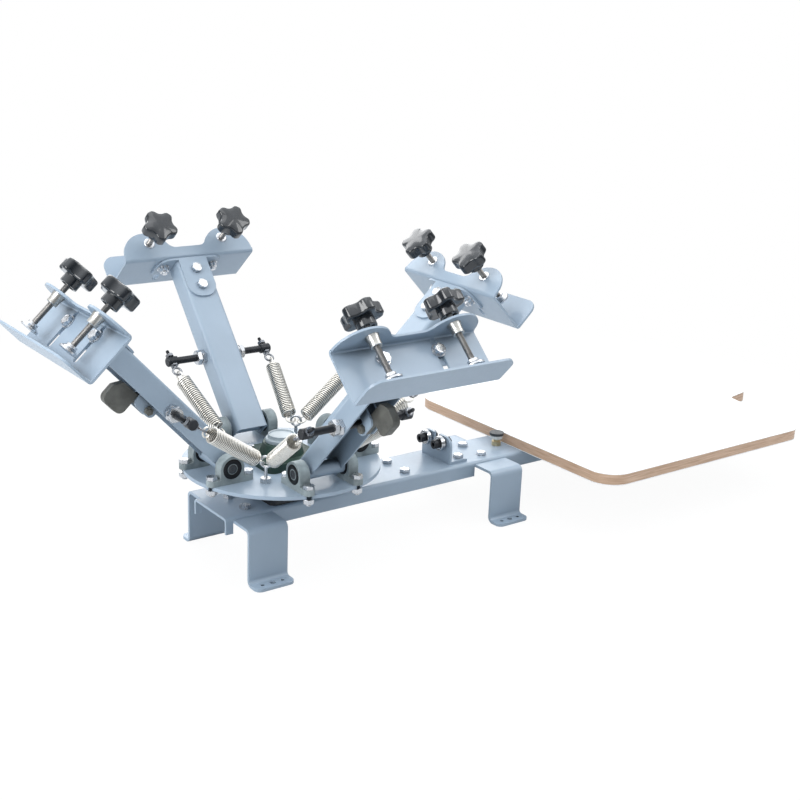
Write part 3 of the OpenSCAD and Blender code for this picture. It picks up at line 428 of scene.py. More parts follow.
def ranged(nodes, links, source, low, high, to_low, to_high):
    """A value's range from low to high brought to another range, and held there."""
    rescale = nodes.new("ShaderNodeMapRange")
    rescale.inputs["From Min"].default_value = low
    rescale.inputs["From Max"].default_value = high
    rescale.inputs["To Min"].default_value = to_low
    rescale.inputs["To Max"].default_value = to_high
    links.new(source, rescale.inputs["Value"])
    return rescale.outputs["Result"]


def mixed(nodes, links, factor, first, second):
    """Mixes two colours; each is a plain colour or a socket."""
    mix = nodes.new("ShaderNodeMix")
    mix.data_type = "RGBA"
    links.new(factor, mix.inputs["Factor"])
    for key, value in (("A", first), ("B", second)):
        socket = [s for s in mix.inputs if s.name == key and s.type == "RGBA"][0]
        if isinstance(value, tuple):
            socket.default_value = (*value, 1)
        else:
            links.new(value, socket)
    return [s for s in mix.outputs if s.type == "RGBA"][0]


# The spread of a noise's usual values
NOISE_SPREAD = (0.3, 0.7)


def eased_normal(nodes, links, shader, height, strength, distance, edge=0.7 * MM):
    """Rounds edges in the light and adds a fine height to the surface."""
    bevel = nodes.new("ShaderNodeBevel")
    bevel.samples = 4
    bevel.inputs["Radius"].default_value = edge
    bump = nodes.new("ShaderNodeBump")
    bump.inputs["Strength"].default_value = strength
    bump.inputs["Distance"].default_value = distance
    links.new(height, bump.inputs["Height"])
    links.new(bevel.outputs["Normal"], bump.inputs["Normal"])
    links.new(bump.outputs["Normal"], shader.inputs["Normal"])
    return bevel


# The share of the bevel's normal along the surface's own where wear begins, and where it is full
WEAR_FROM = 0.995
WEAR_FULL = 0.93


def edge_mask(nodes, links, bevel):
    """Bright where the surface bends within the bevel's radius."""
    geometry = nodes.new("ShaderNodeNewGeometry")
    dot = nodes.new("ShaderNodeVectorMath")
    dot.operation = "DOT_PRODUCT"
    links.new(bevel.outputs["Normal"], dot.inputs[0])
    links.new(geometry.outputs["Normal"], dot.inputs[1])
    return ranged(nodes, links, dot.outputs["Value"], WEAR_FROM, WEAR_FULL, 0.0, 1.0)


def times(nodes, links, a, b):
    """Two values multiplied."""
    multiply = nodes.new("ShaderNodeMath")
    multiply.operation = "MULTIPLY"
    links.new(a, multiply.inputs[0])
    links.new(b, multiply.inputs[1])
    return multiply.outputs["Value"]


def crevices(nodes, links, reach, boxed=0.45, open_air=0.85, most=1.0):
    """A mask for painted shade: rises where the surface is boxed in by itself within a reach, as
    between a spring's turns.
    """
    shade = nodes.new("ShaderNodeAmbientOcclusion")
    shade.samples = 16
    shade.only_local = True
    shade.inputs["Distance"].default_value = reach
    return ranged(nodes, links, shade.outputs["AO"], boxed, open_air, most, 0.0)


def satin_paint(name, colour):
    """Stoved satin paint: faint orange peel, cloudy gloss, a little wear along the edges, and
    painted shade inside a channel."""
    bare_edge = (0.62, 0.66, 0.70)
    material, nodes, links, shader = finish(name)
    peel = object_noise(nodes, links, 1400, 2.0)
    clouds = object_noise(nodes, links, 14, 4.0)
    scuffs = object_noise(nodes, links, 170, 5.0, 0.7)
    cloudy = ranged(nodes, links, clouds, 0.35, 0.65, 0.0, 1.0)
    tone = mixed(nodes, links, cloudy, toned(colour, 0.93), colour)
    # Painted shade: where the surface is boxed in within 45 mm, as inside an arm's channel, the
    # paint is darkened almost to a sixth of its colour
    painted_channel_shade = crevices(nodes, links, 45 * MM, boxed=0.38, open_air=0.64, most=0.92)
    tone = mixed(nodes, links, painted_channel_shade, tone, toned(colour, 0.16))
    bevel = eased_normal(nodes, links, shader, peel, strength=0.12, distance=0.12 * MM)
    scuffed = ranged(nodes, links, scuffs, 0.52, 0.66, 0.0, 0.5)
    worn = times(nodes, links, edge_mask(nodes, links, bevel), scuffed)
    links.new(mixed(nodes, links, worn, tone, bare_edge), shader.inputs["Base Color"])
    links.new(ranged(nodes, links, scuffs, *NOISE_SPREAD, 0.30, 0.46), shader.inputs["Roughness"])
    shader.inputs["Coat Weight"].default_value = 0.2
    shader.inputs["Coat Roughness"].default_value = 0.12
    return material


def plated(name, colour, tint, rough=(0.22, 0.34), grain=600, reach=0.0):
    """Bright zinc or ground steel, dulled to its tint in patches and, given a reach, with painted
    shade in its crevices."""
    crevice_shade = (0.055, 0.052, 0.048)
    material, nodes, links, shader = finish(name)
    patches = object_noise(nodes, links, 90, 4.0)
    fine = object_noise(nodes, links, grain, 3.0, 0.6)
    dull = ranged(nodes, links, patches, 0.45, 0.72, 0.0, 0.6)
    tone = mixed(nodes, links, dull, colour, tint)
    # Painted shade: near-black where the surface is boxed in, as between a spring's turns or in a
    # thread's groove
    if reach:
        tone = mixed(nodes, links, crevices(nodes, links, reach), tone, crevice_shade)
    links.new(tone, shader.inputs["Base Color"])
    links.new(ranged(nodes, links, fine, *NOISE_SPREAD, *rough), shader.inputs["Roughness"])
    shader.inputs["Metallic"].default_value = 1.0
    eased_normal(nodes, links, shader, fine, strength=0.03, distance=0.1 * MM, edge=0.35 * MM)
    return material


def dark_coating(name, colour, rough=(0.28, 0.5), metallic=0.5, grain=450, coat=0.0):
    """Black oxide or moulded plastic: dark, with dust in its tone and a fine grain."""
    material, nodes, links, shader = finish(name)
    dust = object_noise(nodes, links, 60, 5.0, 0.6)
    fine = object_noise(nodes, links, grain, 3.0)
    dusty = ranged(nodes, links, dust, 0.5, 0.8, 0.0, 0.5)
    tone = mixed(nodes, links, dusty, colour, toned(colour, 2.2, 0.01))
    links.new(tone, shader.inputs["Base Color"])
    links.new(ranged(nodes, links, fine, *NOISE_SPREAD, *rough), shader.inputs["Roughness"])
    shader.inputs["Metallic"].default_value = metallic
    shader.inputs["Coat Weight"].default_value = coat
    eased_normal(nodes, links, shader, fine, strength=0.1, distance=0.1 * MM, edge=0.5 * MM)
    return material


def sand_casting(name, colour, rough=(0.45, 0.7), strength=0.35):
    """A painted or bare casting: pebbled skin, uneven tone and lighter edges."""
    material, nodes, links, shader = finish(name)
    pebbles = object_noise(nodes, links, 420, 4.0, 0.65)
    patches = object_noise(nodes, links, 45, 4.0)
    patchy = ranged(nodes, links, patches, 0.38, 0.62, 0.0, 1.0)
    tone = mixed(nodes, links, patchy, toned(colour, 0.6), colour)
    bevel = eased_normal(nodes, links, shader, pebbles, strength, distance=0.5 * MM, edge=1.2 * MM)
    rubbed = ranged(nodes, links, pebbles, 0.45, 0.6, 0.0, 0.6)
    worn = times(nodes, links, edge_mask(nodes, links, bevel), rubbed)
    tone = mixed(nodes, links, worn, tone, toned(colour, 1.5, 0.02))
    links.new(tone, shader.inputs["Base Color"])
    links.new(ranged(nodes, links, pebbles, *NOISE_SPREAD, *rough), shader.inputs["Roughness"])
    return material


def height_bands(nodes, links, stops):
    """A colour that changes with height in the frame: stops are (height, colour) from below."""
    place = nodes.new("ShaderNodeTexCoord")
    split = nodes.new("ShaderNodeSeparateXYZ")
    ramp = nodes.new("ShaderNodeValToRGB")
    ramp.color_ramp.interpolation = "CONSTANT"
    links.new(place.outputs["Object"], split.inputs["Vector"])
    low, high = stops[0][0], stops[-1][0] + 1 * MM
    share = ranged(nodes, links, split.outputs["Z"], low, high, 0.0, 1.0)
    links.new(share, ramp.inputs["Fac"])
    elements = ramp.color_ramp.elements
    while len(elements) > 1:
        elements.remove(elements[-1])
    elements[0].position = 0.0
    elements[0].color = (*stops[0][1], 1)
    for height, colour in stops[1:]:
        added = elements.new((height - low) / (high - low))
        added.color = (*colour, 1)
    return ramp.outputs["Color"]


BOARD_T = 17 * MM
LAMINATE_BELOW = 1.0 * MM
LAMINATE_ABOVE = 1.1 * MM


def board_finish():
    """White laminate over a brown pressed board: the edge shows its layers."""
    material, nodes, links, shader = finish("laminated_board")
    low, high = BEAM_TOP, BEAM_TOP + BOARD_T
    fibres = nodes.new("ShaderNodeTexNoise")
    place = nodes.new("ShaderNodeTexCoord")
    stretch = nodes.new("ShaderNodeMapping")
    stretch.inputs["Scale"].default_value = (30, 30, 900)
    links.new(place.outputs["Object"], stretch.inputs["Vector"])
    links.new(stretch.outputs["Vector"], fibres.inputs["Vector"])
    fibres.inputs["Scale"].default_value = 1.0
    fibres.inputs["Detail"].default_value = 5.0
    grain = fibres.outputs["Fac"]
    grained = ranged(nodes, links, grain, 0.35, 0.68, 0.0, 1.0)
    brown = mixed(nodes, links, grained, (0.45, 0.29, 0.19), (0.65, 0.46, 0.33))
    white = (0.93, 0.93, 0.925)
    laminate, core = (1, 1, 1), (0, 0, 0)
    layer = height_bands(nodes, links, [
        (low, laminate), (low + LAMINATE_BELOW, core),
        (high - LAMINATE_ABOVE, laminate), (high, laminate)])
    links.new(mixed(nodes, links, layer, brown, white), shader.inputs["Base Color"])
    speck = object_noise(nodes, links, 700, 2.0)
    links.new(ranged(nodes, links, speck, *NOISE_SPREAD, 0.36, 0.5), shader.inputs["Roughness"])
    eased_normal(nodes, links, shader, grain, strength=0.05, distance=0.2 * MM, edge=1.4 * MM)
    return material


# Heights of the stop: its stud's foot, the disc, the cap and the cap's top
STOP_FOOT = 60 * MM
STOP_DISC = 93.2 * MM
STOP_CAP = 98.56 * MM
STOP_TOP = 103 * MM


def stop_finish():
    """Plated brass stud and nuts, a pale disc and a dark rubber cap, by height."""
    brass, pale, rubber = (0.55, 0.47, 0.30), (0.62, 0.62, 0.60), (0.03, 0.034, 0.038)
    metallic, matt = (1, 1, 1), (0, 0, 0)
    material, nodes, links, shader = finish("stop_stud_finish")
    colour = height_bands(nodes, links, [
        (STOP_FOOT, brass), (STOP_DISC, pale), (STOP_CAP, rubber), (STOP_TOP, rubber)])
    metal = height_bands(nodes, links, [(STOP_FOOT, metallic), (STOP_DISC, matt), (STOP_TOP, matt)])
    fine = object_noise(nodes, links, 500, 3.0)
    links.new(colour, shader.inputs["Base Color"])
    links.new(metal, shader.inputs["Metallic"])
    links.new(ranged(nodes, links, fine, *NOISE_SPREAD, 0.32, 0.55), shader.inputs["Roughness"])
    eased_normal(nodes, links, shader, fine, strength=0.12, distance=0.2 * MM)
    return material


PAINT = satin_paint("blue_grey_paint", (0.316, 0.400, 0.492))
CAP_PAINT = satin_paint("hub_cap_paint", (0.32, 0.375, 0.41))
ZINC = plated("bright_zinc", (0.60, 0.61, 0.63), (0.50, 0.50, 0.50))
# Its reach paints shade between the spring's turns
SPRING_STEEL = plated(
    "spring_steel", (0.82, 0.79, 0.73), (0.70, 0.66, 0.59), (0.24, 0.38), 900, reach=5 * MM)
PAD_STEEL = plated("pad_steel", (0.68, 0.69, 0.71), (0.60, 0.60, 0.61), (0.22, 0.32))
EYE_STEEL = plated("eye_bolt_steel", (0.27, 0.28, 0.30), (0.19, 0.19, 0.20), (0.20, 0.32), 700)
# Its reach paints shade in the rod's thread
SCREW_STEEL = plated(
    "screw_steel", (0.36, 0.345, 0.33), (0.25, 0.235, 0.22), (0.26, 0.40), 700, reach=1.2 * MM)
GROUND_STEEL = plated("ground_steel", (0.52, 0.53, 0.55), (0.42, 0.42, 0.42), (0.14, 0.24))
WELD_NUT = plated("dull_zinc", (0.56, 0.55, 0.52), (0.42, 0.39, 0.34), (0.24, 0.38), 500)
BLACK_OXIDE = dark_coating("black_oxide", (0.020, 0.022, 0.026))
SHAFT_STEEL = dark_coating("shaft_steel", (0.075, 0.080, 0.085), (0.30, 0.45), 0.8)
KNOB_PLASTIC = dark_coating("knob_plastic", (0.004, 0.007, 0.011), (0.14, 0.24), 0.0, 700, 0.7)
BLACK_INSERT = dark_coating("bearing_insert", (0.016, 0.017, 0.019), (0.25, 0.45), 0.7)
BLOCK_CASTING = sand_casting("pillow_block_casting", (0.315, 0.375, 0.395))
HUB_CASTING = sand_casting("hub_green_casting", (0.018, 0.052, 0.038), (0.35, 0.55), 0.2)
GATE_CASTING = sand_casting("gate_casting", (0.135, 0.135, 0.120), (0.4, 0.6), 0.3)
SPINDLE_STEEL = dark_coating("spindle_steel", (0.030, 0.032, 0.036))
BOARD = board_finish()
STOP = stop_finish()


# ---- Camera ----

# The camera's place from the hub's axis, its angles in radians, and its focal length in widths
VIEW_FROM_HUB = Vector((-0.85866, -1.38874, 0.73484))
VIEW_YAW, VIEW_PITCH, VIEW_ROLL = 0.64985, 0.30606, 0.04074
VIEW_FOCAL = 1283.16 / 800
SENSOR = 36


def place_camera():
    """The photograph's view, fitted on the machine's own corners."""
    yaw, pitch, roll = VIEW_YAW, VIEW_PITCH, VIEW_ROLL
    forward = Vector((
        math.sin(yaw) * math.cos(pitch), math.cos(yaw) * math.cos(pitch), -math.sin(pitch)))
    level = Vector((math.cos(yaw), -math.sin(yaw), 0))
    rise = level.cross(forward)
    right = math.cos(roll) * level + math.sin(roll) * rise
    up = -math.sin(roll) * level + math.cos(roll) * rise
    camera = bpy.data.cameras.new("view")
    camera.sensor_fit = "HORIZONTAL"
    camera.sensor_width = SENSOR
    camera.lens = SENSOR * VIEW_FOCAL
    camera.clip_end = 50
    seen = linked("view", camera)
    turn = Matrix((right, up, -forward)).transposed().to_4x4()
    seen.matrix_world = Matrix.Translation(Vector((HUB_X, 0, 0)) + VIEW_FROM_HUB) @ turn
    bpy.context.scene.camera = seen


# ---- Stage and light ----

# How much of the near floor is plain white to the camera, and the floor's colour in reflected light
FLOOR_WHITE = 0.95
FLOOR_BOUNCE = (0.55, 0.565, 0.58)
FLOOR_REACH = 6.0
# Distances from the middle between which the floor's shadow fades out
SHADOW_FADE = (0.7, 1.3)


def backdrop():
    """A pale floor whose faint shadow fades into a white room."""
    mesh = bpy.data.meshes.new("floor")
    r = FLOOR_REACH
    mesh.from_pydata([(-r, -r, 0), (r, -r, 0), (r, r, 0), (-r, r, 0)], [], [(0, 1, 2, 3)])
    floor = linked("floor", mesh)
    material, nodes, links, shader = finish("pale_floor")
    shader.inputs["Base Color"].default_value = (0.97, 0.97, 0.97, 1)
    shader.inputs["Roughness"].default_value = 0.9
    shader.inputs["Specular IOR Level"].default_value = 0.0
    place = nodes.new("ShaderNodeTexCoord")
    away = nodes.new("ShaderNodeVectorMath")
    away.operation = "LENGTH"
    links.new(place.outputs["Object"], away.inputs[0])
    white_share = ranged(nodes, links, away.outputs["Value"], *SHADOW_FADE, FLOOR_WHITE, 1.0)
    glow = nodes.new("ShaderNodeEmission")
    seen = nodes.new("ShaderNodeMixShader")
    links.new(white_share, seen.inputs["Fac"])
    links.new(shader.outputs["BSDF"], seen.inputs[1])
    links.new(glow.outputs["Emission"], seen.inputs[2])
    bounce = nodes.new("ShaderNodeBsdfDiffuse")
    bounce.inputs["Color"].default_value = (*FLOOR_BOUNCE, 1)
    path = nodes.new("ShaderNodeLightPath")
    mix = nodes.new("ShaderNodeMixShader")
    links.new(path.outputs["Is Camera Ray"], mix.inputs["Fac"])
    links.new(bounce.outputs["BSDF"], mix.inputs[1])
    links.new(seen.outputs["Shader"], mix.inputs[2])
    links.new(mix.outputs["Shader"], nodes["Material Output"].inputs["Surface"])
    mesh.materials.append(material)


# Each softbox's place, size and watts; all of them aim at one point over the base
SOFTBOXES = {
    "top_softbox": ((-0.35, 0.0, 2.5), (2.0, 1.6), 10),
    "left_softbox": ((-2.5, -0.35, 1.35), (1.2, 1.8), 42),
    "back_softbox": ((0.8, 2.7, 1.75), (3.4, 1.8), 52),
    "right_softbox": ((1.5, -1.1, 2.0), (1.1, 1.1), 12),
}
SOFTBOX_AIM = Vector((0, 0, 0.2))

# The room's light by the height of a direction, times a share by its depth: from, to, light there
ROOM_BY_HEIGHT = (0.0, 0.9, 0.22, 1.75)
ROOM_BY_DEPTH = (-1.0, 0.2, 0.6, 1.0)


def softbox(name, place, size, power):
    lamp = bpy.data.lights.new(name, "AREA")
    lamp.shape = "RECTANGLE"
    lamp.size, lamp.size_y = size
    lamp.energy = power
    box = linked(name, lamp)
    box.matrix_world = facing(Vector(place) - SOFTBOX_AIM, place)


def studio():
    """A room that is plain white to the camera and lights the machine from above and behind."""
    world = bpy.data.worlds.new("white_room")
    bpy.context.scene.world = world
    world.use_nodes = True
    nodes, links = world.node_tree.nodes, world.node_tree.links
    nodes.clear()
    path = nodes.new("ShaderNodeLightPath")
    seen = nodes.new("ShaderNodeBackground")
    lit = nodes.new("ShaderNodeBackground")
    mix = nodes.new("ShaderNodeMixShader")
    out = nodes.new("ShaderNodeOutputWorld")
    seen.inputs["Strength"].default_value = 1.0
    seen.inputs["Color"].default_value = (1, 1, 1, 1)
    lit.inputs["Color"].default_value = (0.94, 0.97, 1.0, 1)
    way = nodes.new("ShaderNodeTexCoord")
    split = nodes.new("ShaderNodeSeparateXYZ")
    links.new(way.outputs["Generated"], split.inputs["Vector"])
    height = ranged(nodes, links, split.outputs["Z"], *ROOM_BY_HEIGHT)
    depth = ranged(nodes, links, split.outputs["Y"], *ROOM_BY_DEPTH)
    links.new(times(nodes, links, height, depth), lit.inputs["Strength"])
    links.new(path.outputs["Is Camera Ray"], mix.inputs["Fac"])
    links.new(lit.outputs["Background"], mix.inputs[1])
    links.new(seen.outputs["Background"], mix.inputs[2])
    links.new(mix.outputs["Shader"], out.inputs["Surface"])
    for name, given in SOFTBOXES.items():
        softbox(name, *given)


# ---- Base ----

def paint(node, material):
    """Gives a node of the frame its material."""
    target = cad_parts[node]
    target.data.materials.clear()
    target.data.materials.append(material)


def paint_nodes():
    """The nodes that are shown as they are."""
    for node in ("base_beam", "foot_straps", "roller_bracket", "turntable"):
        paint(node, PAINT)
    paint("platen", BOARD)
    paint("stop_stud", STOP)
    paint("spindle", SPINDLE_STEEL)
    paint("hub_bearing", HUB_CASTING)
    paint("spring_posts", ZINC)
    paint("pillow_blocks", BLOCK_CASTING)
    paint("roller_screws", BLACK_OXIDE)
    paint("roller_left", GROUND_STEEL)
    paint("roller_right", GROUND_STEEL)
    for k in STATIONS:
        for node in ("arm_tube", "head_plate", "screen_channel"):
            paint(f"{node}_{k}", PAINT)
        paint(f"gate_{k}", GATE_CASTING)
        for side, _ in SIDES:
            paint(f"clamp_pad_{side}_{k}", PAD_STEEL)


STRAPS_X = (-203 * MM, 203 * MM)
BOLT_PAIR = 22 * MM
MID_BOLTS_X = HUB_X + 194 * MM
BRACKET_X = HUB_X + 267 * MM
BRACKET_BASE = 33 * MM
BRACKET_BOLT_X = BRACKET_X + BRACKET_BASE * 0.76
BRACKET_SHEET = 4 * MM
STRAP_SHEET = 4 * MM
SPINDLE_BOLTS = 30 * MM
BOARD_X = HUB_X + 401 * MM
BOARD_RAIL = 300 * MM
BOARD_SCREW_XS = tuple(BOARD_X + BOARD_RAIL * share for share in (0.2, 0.8))
ROLLER_S = 16.5 * MM
ROLLER_Z = BEAM_TOP + 30 * MM
ROLLER_SPACER = 3 * MM
ROLLER_W = 7 * MM
ROLLER_PLAY = 0.6 * MM
SEAL_INNER_R = 8.2 * MM
SEAL_OUTER_R = 9.2 * MM
SEAL_T = 0.3 * MM
SEAL_SEAT = 0.02 * MM
# Turns a row of heads unevenly, as a spanner leaves them, in radians from one to the next
BEAM_HEAD_TURN = 0.6
TURRET_HEAD_TURN = 0.7


def base_fasteners():
    """The hex bolts of the beam, with their nuts beneath it."""
    heads, nuts = [], []
    under = BEAM_TOP - BEAM_SHEET
    for side in (-1, 1):
        y = side * BOLT_PAIR
        for x in STRAPS_X:
            heads.append(at(x, y, BEAM_TOP))
            nuts.append(at(x, y, under - STRAP_SHEET) @ DOWN)
        heads.append(at(MID_BOLTS_X, y, BEAM_TOP))
        nuts.append(at(MID_BOLTS_X, y, under) @ DOWN)
        heads.append(at(BRACKET_BOLT_X, y, BEAM_TOP + BRACKET_SHEET))
        nuts.append(at(BRACKET_BOLT_X, y, under) @ DOWN)
        for x in (-SPINDLE_BOLTS, SPINDLE_BOLTS):
            heads.append(at(HUB_X + x, side * SPINDLE_BOLTS, under) @ DOWN)
    for x in BOARD_SCREW_XS:
        heads.append(at(x, 0, under) @ DOWN)
    spun = [place @ Matrix.Rotation(BEAM_HEAD_TURN * i, 4, "Z") for i, place in enumerate(heads)]
    fasteners("beam_bolts", hex_head(), spun, ZINC, "frame", ["frame_bolts"])
    fasteners("beam_nuts", nut_with_tip(), nuts, ZINC, "frame")


def roller_shields():
    """The thin dark seal on each roller's open face."""
    face_x = BRACKET_X - ROLLER_SPACER - ROLLER_W - ROLLER_PLAY - SEAL_SEAT
    seal = lathe_ring([
        (SEAL_INNER_R, 0), (SEAL_OUTER_R, 0), (SEAL_OUTER_R, SEAL_T), (SEAL_INNER_R, SEAL_T)])
    for side, sign in SIDES:
        part = moved(seal, at(face_x, sign * ROLLER_S, ROLLER_Z) @ OUTWARD)
        piece(f"roller_seal_{side}", part, BLACK_INSERT, f"roller_{side}")


# ---- Turret ----

BLOCK_S = 37 * MM
BLOCK_T = 15 * MM
BLOCK_BOLT = 26 * MM
BLOCK_BASE = 8 * MM
HUB_FLANGE = 86 * MM
HUB_H = 27 * MM
HUB_BOLT = HUB_FLANGE * 0.74 / 2
HUB_FLANGE_T = HUB_H * 0.44


def turret_fasteners():
    """The bolts of the hub and the pillow blocks, with their nuts beneath the turntable."""
    heads, nuts = [], []
    for x in (-HUB_BOLT, HUB_BOLT):
        for y in (-HUB_BOLT, HUB_BOLT):
            heads.append(at(HUB_X + x, y, TABLE_TOP + HUB_FLANGE_T))
            nuts.append(at(HUB_X + x, y, TABLE_TOP - TABLE_T) @ DOWN)
    for k in STATIONS:
        for _, sign in SIDES:
            for end in (-BLOCK_BOLT, BLOCK_BOLT):
                x, y = PIVOT_R + end, sign * BLOCK_S
                heads.append(station(k) @ at(x, y, TABLE_TOP + BLOCK_BASE))
                nuts.append(station(k) @ at(x, y, TABLE_TOP - TABLE_T) @ DOWN)
    spun = [place @ Matrix.Rotation(TURRET_HEAD_TURN * i, 4, "Z") for i, place in enumerate(heads)]
    fasteners("turret_bolt_heads", hex_head(), spun, ZINC, "turret", ["turret_bolts"])
    fasteners("turret_bolt_nuts", nut_with_tip(), nuts, ZINC, "turret")


CAP_R = 22 * MM
CAP_H = 11 * MM
CAP_Z = TABLE_TOP + HUB_H
# The cap's outline from below, as distances in from its side: those of its skirt go with heights
# up from its foot, those of its rim with depths below its top
CAP_SKIRT = (
    (0.6 * MM, 0), (0, 0.6 * MM), (0, CAP_H * 0.42), (0.8 * MM, CAP_H * 0.5),
    (3.0 * MM, CAP_H * 0.54), (3.4 * MM, CAP_H * 0.6))
CAP_RIM = (
    (3.4 * MM, 1.0 * MM), (4.0 * MM, 0.2 * MM), (5.2 * MM, 0.2 * MM), (6.0 * MM, 1.0 * MM),
    (6.4 * MM, 1.8 * MM), (10.0 * MM, 2.0 * MM), (CAP_R - 1.0 * MM, 2.0 * MM))


def hub_cap():
    """The pressed cap of the hub: a skirt, a step in, and a rim round a sunken top."""
    profile = [(CAP_R - inset, height) for inset, height in CAP_SKIRT]
    profile += [(CAP_R - inset, CAP_H - depth) for inset, depth in CAP_RIM]
    cap = moved(lathe(profile, 64), at(HUB_X, 0, CAP_Z))
    piece("hub_cap_skin", cap, CAP_PAINT, "turret", ["hub_cap"])


# Radius and height of a bearing's dark face, and of the end of the shaft in it
INSERT_PROFILE = (
    (13.4 * MM, 0.02 * MM), (12.8 * MM, 0.5 * MM), (11.6 * MM, 0.9 * MM), (9.0 * MM, 0.7 * MM),
    (7.2 * MM, PROUD), (7.2 * MM, 0.02 * MM))
SHAFT_END_PROFILE = (
    (6.02 * MM, -0.2 * MM), (6.02 * MM, 0.15 * MM), (5.2 * MM, 0.6 * MM), (1.2 * MM, 0.6 * MM),
    (0.3 * MM, 0.0))
SHAFT_END_GAP = 0.3 * MM


def bearing_inserts():
    """The dark bearing face on both sides of each pillow block, and the ends of the shafts."""
    places, ends = [], {k: [] for k in STATIONS}
    for k in STATIONS:
        for _, sign in SIDES:
            for way in (-1, 1):
                face = station(k) @ at(PIVOT_R, sign * BLOCK_S + way * BLOCK_T / 2, PIVOT_Z)
                places.append(face @ sideways(way))
            end = arm(k) @ at(0, sign * (BLOCK_S + BLOCK_T / 2 + SHAFT_END_GAP), 0)
            ends[k].append(end @ sideways(sign))
    insert = lathe_ring(INSERT_PROFILE)
    fasteners("bearing_faces", insert, places, BLACK_INSERT, "turret")
    tip = lathe(SHAFT_END_PROFILE, 32)
    for k in STATIONS:
        fasteners(f"shaft_ends_{k}", tip, ends[k], SHAFT_STEEL, f"arm_{k}")


# ---- Arms ----

TONGUE_L = 61 * MM
TONGUE_BOLT_XS = (ARM_L - TONGUE_L * 0.26, ARM_L - TONGUE_L * 0.7)
SLOT_S = 39 * MM
SLOT_BOLT_H = 4 * MM
WASHER_T = 1.6 * MM
REAR_NUT_X = ARM_L + 0.3 * MM
WELD_NUT_H = 14 * MM
WELD_NUT_R = 7.0 * MM + PROUD

# Radius and height of the turned fasteners of an arm's head
REAR_SHANK_PROFILE = (
    (BOLT_R + PROUD, 0), (BOLT_R + PROUD, NUT_H + 3.1 * MM), (BOLT_R - 0.6 * MM, NUT_H + 3.6 * MM))
REAR_WASHER_PROFILE = ((5.6 * MM, 0), (9.0 * MM, 0), (9.0 * MM, 0.5 * MM), (5.6 * MM, 0.5 * MM))
COLLAR_PROFILE = (
    (4.1 * MM, 0), (8.0 * MM, 0), (8.0 * MM, 0.8 * MM), (6.9 * MM, 1.7 * MM), (4.1 * MM, 1.7 * MM))
SLOT_WASHER_PROFILE = (
    (4.0 * MM, 0), (9.1 * MM, 0), (9.1 * MM, 1.3 * MM), (8.8 * MM, 1.7 * MM), (4.0 * MM, 1.7 * MM))
WELD_NUT_PROFILE = (
    (4.05 * MM, -PROUD), (WELD_NUT_R - 0.6 * MM, -PROUD), (WELD_NUT_R, 0.5 * MM),
    (WELD_NUT_R, WELD_NUT_H * 0.45), (WELD_NUT_R + 1.5 * MM, WELD_NUT_H - 0.1 * MM),
    (4.05 * MM, WELD_NUT_H - 0.1 * MM))


def head_fasteners(k):
    """The bolts, nuts and washers of an arm's head plate and screen channel, with the collars and
    weld nuts of its clamp screws, over the frame's plain ones."""
    body = f"arm_{k}"
    bigger = 1 + 2 * PROUD / HEX_FLATS
    heads = [
        arm(k) @ at(x, 0, ARM_TOP + PLATE_T) @ Matrix.Rotation(x / BAR_X / 2, 4, "Z")
        for x in TONGUE_BOLT_XS]
    washers = [arm(k) @ at(WEB_X, sign * SLOT_S, SLOT_BOLT_H) @ OUTWARD for _, sign in SIDES]
    heads += [seat @ at(0, 0, WASHER_T) for seat in washers]
    fasteners(f"head_bolts_{k}", hex_head(), heads, PAD_STEEL, body, size=bigger)
    rear_nut = merged(
        hex_head(HEX_FLATS + 2 * PROUD, NUT_H + PROUD),
        lathe(REAR_SHANK_PROFILE, 20), lathe_ring(REAR_WASHER_PROFILE))
    rears = [arm(k) @ at(REAR_NUT_X, sign * SLOT_S, SLOT_BOLT_H) @ INWARD for _, sign in SIDES]
    fasteners(f"head_nuts_{k}", rear_nut, rears, PAD_STEEL, body)
    collars = [arm(k) @ at(SCREW_X, sign * SCREW_S, CHANNEL_TOP) for _, sign in SIDES]
    fasteners(f"nut_collars_{k}", lathe_ring(COLLAR_PROFILE), collars, PAD_STEEL, body)
    washer = lathe_ring(SLOT_WASHER_PROFILE)
    fasteners(f"slot_washers_{k}", washer, washers, ZINC, body)
    seats = [
        arm(k) @ at(SCREW_X, sign * SCREW_S, CHANNEL_TOP - PLATE_T - WELD_NUT_H)
        for _, sign in SIDES]
    fasteners(f"weld_nuts_{k}", lathe_ring(WELD_NUT_PROFILE), seats, WELD_NUT, body)


# ---- Springs and their bars ----

BAR_R = 5 * MM
BAR_BOSS_R = 7 * MM
BAR_BOSS_L = 16 * MM
BAR_EASE = 1.2 * MM
BAR_NUT_FLATS = 18.5 * MM
BAR_NUT_H = 6.4 * MM
BAR_NUT_GAP = 0.4 * MM
BAR_NUT_TURN = 0.35
EYE_SHANK_R = 2.5 * MM
EYE_PITCH = 0.8 * MM
EYE_TIP = 12 * MM
EYE_RING_STEPS = 40


def spring_ends(k):
    """A spring's ends in its station's axes: its hook on the post's ring, the bar's end, the way
    from the bar to the spring, and the point where the eye takes the spring."""
    hook = Vector((
        (POST_R + POST_RING_R) * math.cos(math.pi / 4),
        (POST_R - POST_RING_R) * math.cos(math.pi / 4),
        POST_Z,
    ))
    rise, run = math.sin(RAISED[k]), math.cos(RAISED[k])
    bar = Vector((
        PIVOT_R + BAR_X * run - BAR_H * rise, BAR_EYE_S, PIVOT_Z + BAR_X * rise + BAR_H * run))
    pull_way = Vector((hook.x - bar.x, 0, hook.z - bar.z)).normalized()
    return hook, bar, pull_way, bar + pull_way * EYE_REACH


